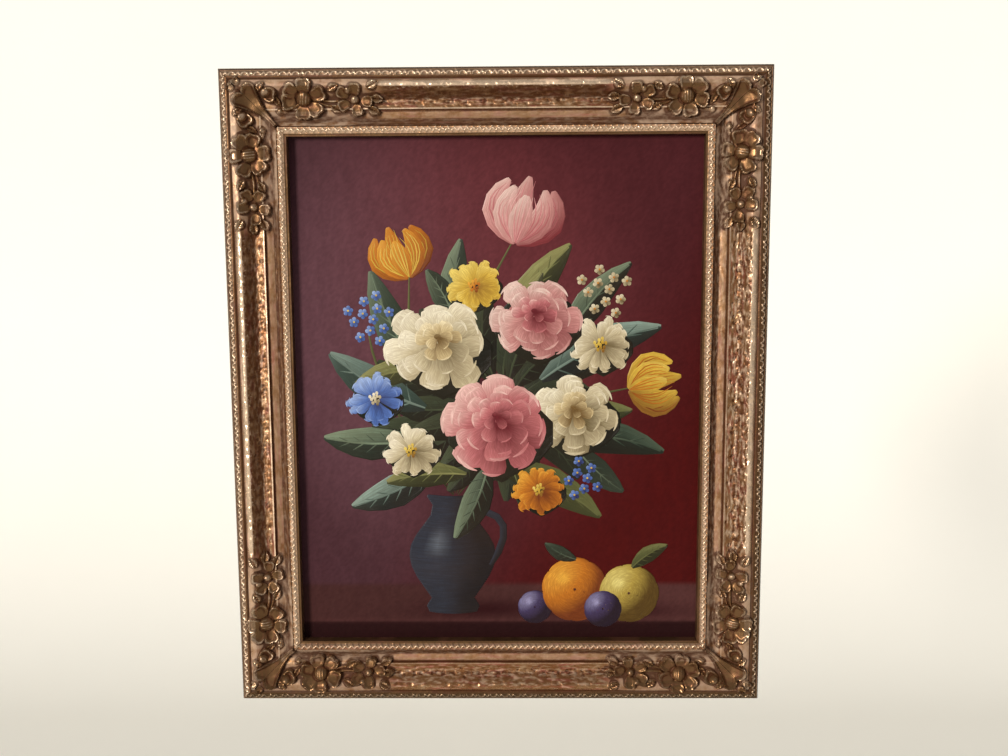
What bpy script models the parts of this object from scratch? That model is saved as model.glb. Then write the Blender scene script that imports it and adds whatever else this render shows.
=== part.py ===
"""A framed oil painting: a mitred, carved and gilded wooden frame round a stretched canvas.

Metres, +Z up. The picture faces -Y and the back plane of the frame is y = 0. The origin is the
middle of the top rail's flat back, where the frame hangs.
"""

import math

import bmesh
import bpy
import numpy as np
from mathutils import Matrix, Vector

# Canvas and stretcher
CANVAS_WIDTH = 0.4064
CANVAS_HEIGHT = 0.508
CANVAS_THICKNESS = 0.0008
STRETCHER_WIDTH = 0.040
STRETCHER_THICKNESS = 0.0185
STRETCHER_BEVEL_WIDTH = 0.030
STRETCHER_BEVEL_DEPTH = 0.003

# Fits
FIT_GAP = 0.0003
MITRE_GAP = 0.0003
CANVAS_CLEARANCE = 0.0012
LIP_COVER = 0.0062

# Moulding, from the outer edge inwards. Heights are above the back plane
RAIL_WIDTH = 0.0635
SIDE_HEIGHT = 0.0245
EDGE_WIDTH = 0.0028
OUTER_BAND_WIDTH = 0.0052
OUTER_BAND_HEIGHT = 0.0312
OUTER_BAND_CROWN = 0.0013
FILLET_WIDTH = 0.0014
GROOVE_WIDTH = 0.0014
GROOVE_HEIGHT = 0.0304
CREST_WIDTH = 0.0058
CREST_HEIGHT = 0.0340
SLOPE_WIDTH = 0.0135
FLOOR_HEIGHT = 0.0260
FLOOR_WIDTH = 0.0084
ARRIS_HEIGHT = 0.0276
STEP_WIDTH = 0.0008
STEP_HEIGHT = 0.0248
COVE_FALL_SHARE = 0.6
COVE_HEIGHT = 0.0234
QUIRK_WIDTH = 0.0005
QUIRK_HEIGHT = 0.0290
INNER_BAND_WIDTH = 0.0058
INNER_BAND_HEIGHT = 0.0324
INNER_BAND_CROWN = 0.0016
LIP_STEP_WIDTH = 0.0003
LIP_WIDTH = 0.0025
LIP_HEIGHT = 0.0320
LIP_DEPTH = 0.0107

# The cove takes what the other members leave of the rail's width. It falls, then rises
OUTER_MEMBERS = EDGE_WIDTH + OUTER_BAND_WIDTH + FILLET_WIDTH + GROOVE_WIDTH
PANEL_MEMBERS = CREST_WIDTH + SLOPE_WIDTH + FLOOR_WIDTH + STEP_WIDTH
INNER_MEMBERS = QUIRK_WIDTH + INNER_BAND_WIDTH + LIP_STEP_WIDTH + LIP_WIDTH
COVE_WIDTH = RAIL_WIDTH - OUTER_MEMBERS - PANEL_MEMBERS - INNER_MEMBERS

# Corner carving. Each place is (distance from the frame's corner along the rail, distance from its edge)
LEAF_STEM_FOOT = (0.0530, 0.0530)
LEAF_FAN_POINT = (0.0380, 0.0380)
LEAF_STEM_WIDTH = 0.0060
LEAF_MIDDLE = (0.0270, 0.0270)
LEAF_MIDDLE_SIZE = (0.0270, 0.0150)
LEAF_SIDE = (0.0290, 0.0180)
LEAF_SIDE_SIZE = (0.0240, 0.0130)
LEAF_CURL = (0.0185, 0.0130)
LEAF_CURL_SIZE = (0.0068, 0.0068)
LEAF_RELIEF = 0.0040
BUD = (0.0480, 0.0250)
BUD_SIZE = (0.0140, 0.0120)
BEAD = (0.0575, 0.0400)
BEAD_SIZE = (0.0062, 0.0062)
BUD_RELIEF = 0.0045
BIG_FLOWER = (0.0810, 0.0285)
BIG_EYE_SIZE = (0.0148, 0.0148)
BIG_EYE_RELIEF = 0.0082
BIG_PETALS = 6
BIG_PETAL_RING = (0.0158, 0.0134)
BIG_PETAL_SIZE = (0.0130, 0.0146)
BIG_PETAL_TURN = math.radians(40)
BIG_PETAL_RELIEF = 0.0042
SMALL_FLOWER = (0.1285, 0.0300)
SMALL_EYE_SIZE = (0.0082, 0.0082)
SMALL_EYE_RELIEF = 0.0060
SMALL_PETALS = 5
SMALL_PETAL_RING = (0.0108, 0.0098)
SMALL_PETAL_SIZE = (0.0112, 0.0104)
SMALL_PETAL_TURN = math.radians(12)
SMALL_PETAL_RELIEF = 0.0036
STEM_WIDTH = 0.0034
STEM_RELIEF = 0.0030
STEM_LEAF = 0.1075
STEM_LEAF_SPREAD = 0.0092
STEM_LEAF_SIZE = (0.0130, 0.0072)
STEM_LEAF_TURN = math.radians(32)
END_LEAF = 0.1455
END_LEAF_REACH = 0.0035
END_LEAF_SPREAD = 0.0115
END_LEAF_SIZE = (0.0135, 0.0085)
END_LEAF_TURN = math.radians(24)
END_LEAF_RELIEF = 0.0030

# A carved form is an ellipsoid sunk into the face, which leans with the face it lies on
SUNK_SHARE = 0.6
LEAN_SHARE = 0.8
LEAN_REACH = 0.004
STEM_OVERRUN = 1.15
PETAL_SIDES = 6
EYE_SIDES = 8
DOME_RINGS = 4

# How far the mitre cutters reach past what they cut
CUTTER_MARGIN = 0.02
ROUGH_LENGTH_ALLOWANCE = 0.01

SIGHT_WIDTH = CANVAS_WIDTH - 2 * LIP_COVER
SIGHT_HEIGHT = CANVAS_HEIGHT - 2 * LIP_COVER
FRAME_WIDTH = SIGHT_WIDTH + 2 * RAIL_WIDTH
FRAME_HEIGHT = SIGHT_HEIGHT + 2 * RAIL_WIDTH
RABBET_EDGE = RAIL_WIDTH - LIP_COVER - CANVAS_CLEARANCE
RABBET_HEIGHT = LIP_HEIGHT - LIP_DEPTH
CANVAS_FRONT = RABBET_HEIGHT - FIT_GAP
STRETCHER_FRONT = CANVAS_FRONT - CANVAS_THICKNESS - FIT_GAP
STRETCHER_OUTSET = CANVAS_THICKNESS + FIT_GAP
TOP_EDGE = RABBET_EDGE / 2
MIDDLE = TOP_EDGE - FRAME_HEIGHT / 2

GILDED = ((0.42, 0.27, 0.15), 0.42, 0.75)
LINEN = ((0.16, 0.03, 0.04), 0.45, 0.0)
PINE = ((0.52, 0.36, 0.20), 0.7, 0.0)


def clear_scene():
    for found in list(bpy.data.objects):
        bpy.data.objects.remove(found)


def new_collection(name):
    made = bpy.data.collections.new(name)
    bpy.context.scene.collection.children.link(made)
    return made


def new_material(name, look):
    colour, roughness, metallic = look
    made = bpy.data.materials.new(name)
    made.use_nodes = True
    shader = made.node_tree.nodes["Principled BSDF"]
    shader.inputs["Base Color"].default_value = (*colour, 1)
    shader.inputs["Roughness"].default_value = roughness
    shader.inputs["Metallic"].default_value = metallic
    return made


def run_of(start, end, steps, bend):
    """Points after start up to end, with the height following bend over the share of the way."""
    shares = [(i + 1) / steps for i in range(steps)]
    return [
        (start[0] + (end[0] - start[0]) * a, start[1] + (end[1] - start[1]) * bend(a))
        for a in shares
    ]


def wave(a):
    return (1 - math.cos(math.pi * a)) / 2


def flat_end(a):
    return math.sin(math.pi / 2 * a)


def flat_start(a):
    return 1 - math.cos(math.pi / 2 * a)


def band(start, width, height, crown, steps):
    """A crowned flat member that starts with a step up to its own height."""
    ends = [start + width * i / steps for i in range(steps + 1)]
    return [
        (t, height + crown * math.sin(math.pi * i / steps))
        for i, t in enumerate(ends)
    ]


def face_outline():
    """The moulding's face, as (distance from the outer edge, height), from the side to the lip."""
    outline = [(0.0, SIDE_HEIGHT)]
    outline += run_of(outline[-1], (EDGE_WIDTH, OUTER_BAND_HEIGHT), 3, flat_end)
    outline += band(EDGE_WIDTH, OUTER_BAND_WIDTH, OUTER_BAND_HEIGHT, OUTER_BAND_CROWN, 4)[1:]
    fillet = outline[-1][0] + FILLET_WIDTH
    outline += [(fillet, OUTER_BAND_HEIGHT)]
    groove = fillet + GROOVE_WIDTH
    outline += [(groove, GROOVE_HEIGHT)]
    crest = groove + CREST_WIDTH
    outline += run_of(outline[-1], (crest, CREST_HEIGHT), 3, flat_end)
    floor = crest + SLOPE_WIDTH
    outline += run_of(outline[-1], (floor, FLOOR_HEIGHT), 6, wave)
    arris = floor + FLOOR_WIDTH
    outline += run_of(outline[-1], (arris, ARRIS_HEIGHT), 2, flat_start)
    step = arris + STEP_WIDTH
    outline += [(step, STEP_HEIGHT)]
    cove = step + COVE_WIDTH * COVE_FALL_SHARE
    outline += run_of(outline[-1], (cove, COVE_HEIGHT), 4, flat_start)
    quirk = step + COVE_WIDTH
    outline += [(quirk, QUIRK_HEIGHT)]
    outline += band(
        quirk + QUIRK_WIDTH, INNER_BAND_WIDTH, INNER_BAND_HEIGHT, INNER_BAND_CROWN, 4
    )
    outline += [(RAIL_WIDTH - LIP_WIDTH, LIP_HEIGHT), (RAIL_WIDTH, LIP_HEIGHT)]
    return outline


def rail_outline():
    """The whole section of a rail: its face, the rabbet behind the lip and the flat back."""
    behind = [
        (RAIL_WIDTH, RABBET_HEIGHT),
        (RABBET_EDGE, RABBET_HEIGHT),
        (RABBET_EDGE, 0.0),
        (0.0, 0.0),
    ]
    return face_outline() + behind


def stretcher_outline():
    """A stretcher bar's section. Its face falls away inwards, so that only its rim meets the canvas."""
    rim = STRETCHER_WIDTH - STRETCHER_BEVEL_WIDTH
    return [
        (0.0, STRETCHER_FRONT),
        (rim, STRETCHER_FRONT),
        (STRETCHER_WIDTH, STRETCHER_FRONT - STRETCHER_BEVEL_DEPTH),
        (STRETCHER_WIDTH, STRETCHER_FRONT - STRETCHER_THICKNESS),
        (0.0, STRETCHER_FRONT - STRETCHER_THICKNESS),
    ]


def face_height(distance):
    across, heights = zip(*face_outline())
    return float(np.interp(distance, across, heights))


def face_slope(distance):
    """The face's mean slope over a carved form's width."""
    rise = face_height(distance + LEAN_REACH) - face_height(distance - LEAN_REACH)
    return math.atan2(rise, 2 * LEAN_REACH)


def extruded(name, outline, length):
    """A straight bar of this section, along X, outer edge at z = 0 and inwards down -Z."""
    curve = bpy.data.curves.new(name, "CURVE")
    curve.dimensions = "2D"
    curve.fill_mode = "BOTH"
    curve.extrude = length / 2
    spline = curve.splines.new("POLY")
    spline.points.add(len(outline) - 1)
    for point, (t, h) in zip(spline.points, outline):
        point.co = (t, h, 0, 1)
    spline.use_cyclic_u = True
    guide = bpy.data.objects.new(name + "_outline", curve)
    bpy.context.scene.collection.objects.link(guide)
    # The curve's x, y and z become the bar's -z, -y and x.
    guide.matrix_world = Matrix(((0, 0, 1, 0), (0, -1, 0, 0), (-1, 0, 0, 0), (0, 0, 0, 1)))
    bpy.context.view_layer.update()
    mesh = bpy.data.meshes.new_from_object(
        guide.evaluated_get(bpy.context.evaluated_depsgraph_get())
    )
    mesh.transform(guide.matrix_world)
    bpy.data.objects.remove(guide)
    bm = bmesh.new()
    bm.from_mesh(mesh)
    bmesh.ops.remove_doubles(bm, verts=bm.verts, dist=1e-6)
    bmesh.ops.recalc_face_normals(bm, faces=bm.faces)
    bm.to_mesh(mesh)
    bm.free()
    mesh.name = name
    return mesh


def mitre_block(length, width):
    """A cutter that keeps what lies between two mitres, for a bar of this length and width."""
    half = length / 2 - MITRE_GAP / math.sqrt(2)
    front = INNER_BAND_HEIGHT + CUTTER_MARGIN
    bm = bmesh.new()
    bmesh.ops.create_cube(bm, size=2)
    for vert in bm.verts:
        inwards = width + CUTTER_MARGIN if vert.co.z < 0 else -CUTTER_MARGIN
        vert.co.z = -inwards
        vert.co.x = math.copysign(half - inwards, vert.co.x)
        vert.co.y = CUTTER_MARGIN if vert.co.y > 0 else -front
    mesh = bpy.data.meshes.new("mitre_block")
    bm.to_mesh(mesh)
    bm.free()
    return mesh


def dome(place, size, relief, turn=0.0, sides=PETAL_SIDES):
    """A low ellipsoid that lies on the moulding's face and stands relief proud of it."""
    s, t = place
    length, width = size
    bm = bmesh.new()
    bmesh.ops.create_uvsphere(bm, u_segments=sides, v_segments=DOME_RINGS, radius=1)
    sunk = relief * SUNK_SHARE
    scale = Matrix.Diagonal((length / 2, width / 2, relief + sunk, 1))
    spin = Matrix.Rotation(turn, 4, "Z")
    tilt = Matrix.Rotation(LEAN_SHARE * face_slope(t), 4, "X")
    # The form's x, y and z become the rail's x, -z and -y.
    lie = Matrix(((1, 0, 0, 0), (0, 0, -1, 0), (0, -1, 0, 0), (0, 0, 0, 1)))
    put = Matrix.Translation(Vector((s, -(face_height(t) - sunk), -t)))
    bmesh.ops.transform(bm, matrix=put @ lie @ tilt @ spin @ scale, verts=bm.verts)
    bmesh.ops.recalc_face_normals(bm, faces=bm.faces)
    mesh = bpy.data.meshes.new("dome")
    bm.to_mesh(mesh)
    bm.free()
    return mesh


def between(start, end, width, relief):
    """A long low dome from one place to another, for a stem."""
    run = Vector(end) - Vector(start)
    middle = (Vector(start) + Vector(end)) / 2
    size = (run.length * STEM_OVERRUN, width)
    return dome(middle, size, relief, math.atan2(run.y, run.x))


def ring_of_petals(centre, ring, count, turn, size, relief):
    """Petals round a flower's eye, on a ring with these half sizes along and across the rail."""
    made = []
    for i in range(count):
        angle = turn + 2 * math.pi * i / count
        place = (centre[0] + ring[0] * math.cos(angle), centre[1] + ring[1] * math.sin(angle))
        made.append(dome(place, size, relief, angle))
    return made


def corner_leaf():
    """The leaf on the mitre: a stem from the sight edge that fans out into three lobes and two curls."""
    made = [between(LEAF_STEM_FOOT, LEAF_FAN_POINT, LEAF_STEM_WIDTH, LEAF_RELIEF)]
    lobes = [(LEAF_MIDDLE, LEAF_MIDDLE_SIZE)]
    for place, size in ((LEAF_SIDE, LEAF_SIDE_SIZE), (LEAF_CURL, LEAF_CURL_SIZE)):
        lobes += [(place, size), (place[::-1], size)]
    for place, size in lobes:
        run = Vector(place) - Vector(LEAF_FAN_POINT)
        made.append(dome(place, size, LEAF_RELIEF, math.atan2(run.y, run.x)))
    return made


def corner_spray():
    """The flowers, buds, stem and leaves along one rail from the corner."""
    made = [dome(BUD, BUD_SIZE, BUD_RELIEF), dome(BEAD, BEAD_SIZE, BUD_RELIEF)]
    made += ring_of_petals(
        BIG_FLOWER, BIG_PETAL_RING, BIG_PETALS, BIG_PETAL_TURN, BIG_PETAL_SIZE, BIG_PETAL_RELIEF
    )
    made.append(dome(BIG_FLOWER, BIG_EYE_SIZE, BIG_EYE_RELIEF, sides=EYE_SIDES))
    made.append(between(BIG_FLOWER, SMALL_FLOWER, STEM_WIDTH, STEM_RELIEF))
    made += ring_of_petals(
        SMALL_FLOWER,
        SMALL_PETAL_RING,
        SMALL_PETALS,
        SMALL_PETAL_TURN,
        SMALL_PETAL_SIZE,
        SMALL_PETAL_RELIEF,
    )
    made.append(dome(SMALL_FLOWER, SMALL_EYE_SIZE, SMALL_EYE_RELIEF, sides=EYE_SIDES))
    for side in (-1, 1):
        leaf = (STEM_LEAF, SMALL_FLOWER[1] + side * STEM_LEAF_SPREAD)
        made.append(dome(leaf, STEM_LEAF_SIZE, STEM_RELIEF, -side * STEM_LEAF_TURN))
    for side in (-1, 0, 1):
        reach = END_LEAF + END_LEAF_REACH * (1 - abs(side))
        leaf = (reach, SMALL_FLOWER[1] + side * END_LEAF_SPREAD)
        made.append(dome(leaf, END_LEAF_SIZE, END_LEAF_RELIEF, side * END_LEAF_TURN))
    return made


def helper(name, mesh, collection, parent=None):
    made = bpy.data.objects.new(name, mesh)
    made.hide_render = True
    made.display_type = "WIRE"
    made.parent = parent
    collection.objects.link(made)
    return made


def add_boolean(target, operation, other):
    modifier = target.modifiers.new(operation.lower(), "BOOLEAN")
    modifier.operation = operation
    modifier.solver = "EXACT"
    if isinstance(other, bpy.types.Collection):
        modifier.operand_type = "COLLECTION"
        modifier.collection = other
    else:
        modifier.object = other


def mitred_bar(name, outline, length, width, look, parts, cutters, carving=()):
    """A bar of this section with mitred ends, and the carving at both ends joined to it."""
    rough_length = length + ROUGH_LENGTH_ALLOWANCE
    made = bpy.data.objects.new(name, extruded(name, outline, rough_length))
    made.data.materials.append(new_material(name, look))
    parts.objects.link(made)
    if carving:
        group = bpy.data.collections.new(name + "_carving")
        cutters.children.link(group)
        for end in (-1, 1):
            # From the corner inwards, which is a mirror image at the far end.
            corner = Matrix.Translation((-end * length / 2, 0, 0))
            from_corner = corner @ Matrix.Diagonal((end, 1, 1, 1))
            for i, mesh in enumerate(carving):
                copy = mesh.copy()
                copy.transform(from_corner)
                if end < 0:
                    copy.flip_normals()
                helper(f"{name}_carving_{end}_{i}", copy, group, made)
        add_boolean(made, "UNION", group)
    block = helper(name + "_mitres", mitre_block(length, width), cutters, made)
    add_boolean(made, "INTERSECT", block)
    return made


def place(bar, x, z, turn):
    bar.location = (x, 0, z)
    bar.rotation_euler = (0, math.radians(turn), 0)


def four_sided(prefix, outline, width, height, bar_width, look, parts, cutters, carving=()):
    """Four mitred bars round an opening, named for their sides."""
    for side, length, x, z, turn in (
        ("top", width, 0, height / 2, 0),
        ("right", height, width / 2, 0, 90),
        ("bottom", width, 0, -height / 2, 180),
        ("left", height, -width / 2, 0, -90),
    ):
        bar = mitred_bar(f"{prefix}_{side}", outline, length, bar_width, look, parts, cutters, carving)
        place(bar, x, MIDDLE + z, turn)


def make_canvas(parts):
    """Linen over the stretcher: a face and four turned-over edges, open at the back."""
    bm = bmesh.new()
    bmesh.ops.create_cube(bm, size=1)
    back = [face for face in bm.faces if face.normal.y > 0.5]
    bmesh.ops.delete(bm, geom=back, context="FACES_ONLY")
    depth = CANVAS_THICKNESS + FIT_GAP + STRETCHER_THICKNESS
    bmesh.ops.scale(bm, vec=(CANVAS_WIDTH, depth, CANVAS_HEIGHT), verts=bm.verts)
    mesh = bpy.data.meshes.new("canvas")
    bm.to_mesh(mesh)
    bm.free()
    made = bpy.data.objects.new("canvas", mesh)
    made.location = (0, -(CANVAS_FRONT - depth / 2), MIDDLE)
    made.data.materials.append(new_material("canvas", LINEN))
    shell = made.modifiers.new("thickness", "SOLIDIFY")
    shell.thickness = CANVAS_THICKNESS
    shell.offset = -1
    shell.use_even_offset = True
    parts.objects.link(made)


def main():
    clear_scene()
    parts = new_collection("framed_oil_painting")
    cutters = new_collection("cutters")
    four_sided(
        "rail",
        rail_outline(),
        FRAME_WIDTH,
        FRAME_HEIGHT,
        RAIL_WIDTH,
        GILDED,
        parts,
        cutters,
        corner_leaf() + corner_spray(),
    )
    four_sided(
        "stretcher",
        stretcher_outline(),
        CANVAS_WIDTH - 2 * STRETCHER_OUTSET,
        CANVAS_HEIGHT - 2 * STRETCHER_OUTSET,
        STRETCHER_WIDTH,
        PINE,
        parts,
        cutters,
    )
    make_canvas(parts)


main()
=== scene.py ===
# %% [markdown]
# # A framed oil painting
#
# The object is a flower piece in oils on stretched canvas, in a wide wooden frame that was carved,
# coated with gesso and red clay, gilded, and then toned brown and rubbed. This lesson dresses the
# solid model of it: the four rails get their carving and their gilding, the canvas gets its paint,
# and the stretcher gets the grain of its wood.
#
# Lengths are in millimetres while a shape is worked out. MM turns them into Blender's metres.

# %% Load the solid model
import math

import bmesh
import bpy
import numpy as np
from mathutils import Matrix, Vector


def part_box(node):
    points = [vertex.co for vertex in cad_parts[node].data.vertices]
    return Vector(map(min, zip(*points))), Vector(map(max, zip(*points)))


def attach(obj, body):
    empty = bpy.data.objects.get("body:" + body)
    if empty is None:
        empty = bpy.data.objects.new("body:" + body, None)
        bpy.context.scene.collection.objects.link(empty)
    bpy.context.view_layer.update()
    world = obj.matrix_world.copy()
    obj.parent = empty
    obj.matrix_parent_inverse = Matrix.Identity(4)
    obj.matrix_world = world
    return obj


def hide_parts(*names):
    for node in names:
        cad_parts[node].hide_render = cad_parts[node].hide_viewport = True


MM = 0.001
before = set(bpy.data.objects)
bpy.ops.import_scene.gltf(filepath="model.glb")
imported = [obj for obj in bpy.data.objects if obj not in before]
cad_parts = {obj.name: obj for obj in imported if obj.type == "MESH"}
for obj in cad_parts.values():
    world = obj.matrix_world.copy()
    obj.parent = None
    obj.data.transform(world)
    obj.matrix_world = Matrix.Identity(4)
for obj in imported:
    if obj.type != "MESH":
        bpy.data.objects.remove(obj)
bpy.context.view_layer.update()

# %% [markdown]
# ## Where things are
#
# The picture faces -Y and the flat back of the frame is the plane y = 0. Every size that the solid
# model can tell is read from it: the frame's width and height, and the canvas's. The moulding's
# section isn't in a box, so its members are named here, from the outer edge inwards, with their
# heights above the back. The last lines are the rabbet that holds the picture, a line along the
# middle of the flat back, and three levels on the outer side.

# %% Sizes of the frame and its moulding
top_low, top_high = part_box("rail_top")
left_low, left_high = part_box("rail_left")
canvas_low, canvas_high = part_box("canvas")

FRAME_WIDTH = (top_high[0] - top_low[0]) / MM
FRAME_HEIGHT = (left_high[2] - left_low[2]) / MM
MIDDLE_Z = (left_high[2] + left_low[2]) / 2 / MM
CANVAS_WIDTH = (canvas_high[0] - canvas_low[0]) / MM
CANVAS_HEIGHT = (canvas_high[2] - canvas_low[2]) / MM
CANVAS_FRONT = -canvas_low[1] / MM
CANVAS_BACK = -canvas_high[1] / MM
CANVAS_THICKNESS = 0.8
RAIL_WIDTH = 63.5
MITRE_INSET = 0.3 / math.sqrt(2)

SIDE_HEIGHT = 24.5
EDGE_END = 2.8
OUTER_BAND_END = 8.0
OUTER_BAND_HEIGHT = 31.2
OUTER_BAND_FALL = 2.2
OUTER_BAND_CROWN = 1.3
FILLET_END = 9.4
GROOVE_END = 10.8
GROOVE_HEIGHT = 30.4
CREST = 16.6
CREST_HEIGHT = 34.0
FLOOR = 30.1
FLOOR_HEIGHT = 26.0
ARRIS = 38.5
ARRIS_HEIGHT = 27.6
STEP_END = 39.3
STEP_HEIGHT = 24.8
COVE = 48.36
COVE_HEIGHT = 23.4
COVE_END = 54.4
QUIRK_HEIGHT = 29.0
INNER_BAND = 54.9
INNER_BAND_END = 60.7
INNER_BAND_HEIGHT = 32.4
INNER_BAND_CROWN = 1.6
LIP_START = 61.0
LIP_HEIGHT = 32.0
LIP_SIDE_HEIGHT = 27.0
RABBET_HEIGHT = 21.3
RABBET_EDGE = 56.1
BACK_MIDDLE = 28.0
SIDE_LEVELS = [6.0, 13.0, 19.5]

SIGHT_WIDTH = FRAME_WIDTH - 2 * RAIL_WIDTH
SIGHT_HEIGHT = FRAME_HEIGHT - 2 * RAIL_WIDTH
print(f"frame {FRAME_WIDTH:.1f} x {FRAME_HEIGHT:.1f}, sight {SIGHT_WIDTH:.1f} x {SIGHT_HEIGHT:.1f} mm")

# %% [markdown]
# ## The camera
#
# The photograph was taken by hand, a little over a metre away, from slightly above the middle of the
# picture, so the camera looks down by about 8 degrees and the frame narrows towards its foot. The
# place and the turn come from matching the frame's and the sight's straight edges.

# %% Camera
PHOTO_WIDTH = 1008
SENSOR_WIDTH = 36.0
FOCAL_PIXELS = 1130
CAMERA_RIGHT = 22.6
CAMERA_UP = 172.5
CAMERA_AWAY = 1079.5
LOOK_DOWN = 8.16
LOOK_LEFT = 0.80
ROLL = 0.36

lens = bpy.data.cameras.new("camera")
lens.sensor_width = SENSOR_WIDTH
lens.lens = FOCAL_PIXELS * SENSOR_WIDTH / PHOTO_WIDTH
camera = bpy.data.objects.new("camera", lens)
bpy.context.scene.collection.objects.link(camera)
camera.location = (
    CAMERA_RIGHT * MM,
    -(LIP_HEIGHT + CAMERA_AWAY) * MM,
    (MIDDLE_Z + CAMERA_UP) * MM,
)
camera.rotation_euler = (
    math.radians(90 - LOOK_DOWN),
    math.radians(ROLL),
    math.radians(LOOK_LEFT),
)
bpy.context.scene.camera = camera
print(f"camera: {lens.lens:.1f} mm lens, {CAMERA_AWAY:.0f} mm away")

# %% [markdown]
# ## Shader maths
#
# A finish is easier to read as a sum than as a web of nodes. The class Wire stands for a socket: when
# two wires, or a wire and a number, are added or multiplied, it adds the Math node that does so.
# The class Finish holds one material. Its method node makes any other node from its type, its
# settings and its sockets, and blend mixes two colours with a Mix node, because a Math node would
# turn them grey.

# %% A socket that Python's operators work on
class Wire:
    """A shader socket."""

    def __init__(self, finish, socket):
        self.finish = finish
        self.socket = socket

    def maths(self, operation, first, second=0.0, clamp=False):
        settings = {"operation": operation, "use_clamp": clamp}
        return self.finish.node("ShaderNodeMath", settings, {0: first, 1: second})

    def __add__(self, other):
        return self.maths("ADD", self, other)

    def __radd__(self, other):
        return self.maths("ADD", other, self)

    def __sub__(self, other):
        return self.maths("SUBTRACT", self, other)

    def __rsub__(self, other):
        return self.maths("SUBTRACT", other, self)

    def __mul__(self, other):
        return self.maths("MULTIPLY", self, other)

    def __rmul__(self, other):
        return self.maths("MULTIPLY", other, self)

    def sine(self):
        return self.maths("SINE", self)

    def between(self, low, high):
        """0 below low, 1 above high, and a soft step in between."""
        settings = {"interpolation_type": "SMOOTHSTEP"}
        return self.finish.node(
            "ShaderNodeMapRange", settings, {"Value": self, "From Min": low, "From Max": high}
        )

    def clamped(self):
        return self.maths("ADD", self, 0.0, clamp=True)


# %% A material whose nodes are written as expressions
class Finish:
    """One material with a Principled shader."""

    def __init__(self, name, **constants):
        self.material = bpy.data.materials.new(name)
        self.material.use_nodes = True
        self.tree = self.material.node_tree
        self.shader = self.tree.nodes["Principled BSDF"]
        for socket, value in constants.items():
            self.shader.inputs[socket.replace("_", " ")].default_value = value

    def node(self, kind, settings=None, sockets=None, output=0):
        made = self.tree.nodes.new(kind)
        for key, value in (settings or {}).items():
            setattr(made, key, value)
        for key, value in (sockets or {}).items():
            self.plug(made.inputs[key], value)
        return Wire(self, made.outputs[output])

    def plug(self, socket, value):
        if isinstance(value, Wire):
            self.tree.links.new(value.socket, socket)
        elif socket.type == "RGBA":
            socket.default_value = (*value, 1)
        else:
            socket.default_value = value

    def place(self, stretch=(1, 1, 1)):
        """The point on the object in millimetres, stretched along each axis."""
        point = self.node("ShaderNodeTexCoord", output=3)
        scale = [share / MM for share in stretch]
        return self.node("ShaderNodeVectorMath", {"operation": "MULTIPLY"}, {0: point, 1: scale})

    def noise(self, size, detail=3.0, stretch=(1, 1, 1), rough=0.55):
        """Cloudy noise from 0 to 1 whose clouds are about size millimetres across."""
        sockets = {"Vector": self.place(stretch), "Scale": 1 / size, "Detail": detail}
        return self.node("ShaderNodeTexNoise", None, {**sockets, "Roughness": rough})

    def drawn_out(self, lengthwise, across, detail):
        """Noise in a plane, for marks that run along a rail or a brush stroke."""
        vector = self.node("ShaderNodeCombineXYZ", None, {"X": lengthwise, "Y": across})
        return self.node("ShaderNodeTexNoise", None, {"Vector": vector, "Scale": 1.0, "Detail": detail})

    def attribute(self, name, output=2):
        """A value stored on the mesh. Output 0 is the same thing as a colour."""
        return self.node("ShaderNodeAttribute", {"attribute_name": name}, None, output)

    def blend(self, share, first, second):
        settings = {"data_type": "RGBA"}
        return self.node("ShaderNodeMix", settings, {0: share, 6: first, 7: second}, output=2)

    def shift(self, share, first, second):
        """A number that goes from first to second as share goes from 0 to 1."""
        return first + share * (second - first)

    def bump(self, height, depth):
        sockets = {"Height": height, "Distance": depth * MM, "Strength": 1.0}
        return self.node("ShaderNodeBump", None, sockets)

    def set(self, **wires):
        for socket, value in wires.items():
            self.plug(self.shader.inputs[socket.replace("_", " ")], value)


# %% [markdown]
# ## Light and floor
#
# In the photograph daylight comes in from the front and the left, a little above level, and the room
# around is plain and pale. A broad sun lamp gives the same soft light all over, and the world fills
# the shadows. The floor is a pale sweep that bends up far behind the frame, so that the frame can be
# seen from behind as well.

# %% Sun lamp and world
SUN_FROM_LEFT = 33
SUN_FROM_ABOVE = 11
SUN_STRENGTH = 3.0
SUN_SPREAD = 16
SUN_COLOUR = (1.0, 0.965, 0.91)
ROOM_COLOUR = (0.96, 0.97, 1.0)
ROOM_STRENGTH = 0.34

sun = bpy.data.lights.new("daylight", "SUN")
sun.energy = SUN_STRENGTH
sun.angle = math.radians(SUN_SPREAD)
sun.color = SUN_COLOUR
daylight = bpy.data.objects.new("daylight", sun)
daylight.rotation_euler = (math.radians(90 - SUN_FROM_ABOVE), 0, math.radians(-SUN_FROM_LEFT))
bpy.context.scene.collection.objects.link(daylight)

world = bpy.data.worlds.new("room")
world.use_nodes = True
room = world.node_tree.nodes["Background"]
room.inputs["Color"].default_value = (*ROOM_COLOUR, 1)
room.inputs["Strength"].default_value = ROOM_STRENGTH
bpy.context.scene.world = world
bpy.context.scene.view_settings.view_transform = "Standard"

# %% Pale sweep under and behind the frame
FLOOR_DROP = 1100
SWEEP_DEPTH = 3600
SWEEP_BEND = 1300
SWEEP_HALF_WIDTH = 6000
SWEEP_TOP = 4800
SWEEP_STEPS = 24
PALE = (0.93, 0.90, 0.82)
LESS_PALE = tuple(0.97 * c for c in PALE)


def stand(name, mesh, material):
    """An object in the scene with this mesh and this material."""
    mesh.materials.append(material)
    made = bpy.data.objects.new(name, mesh)
    bpy.context.scene.collection.objects.link(made)
    return made


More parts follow.
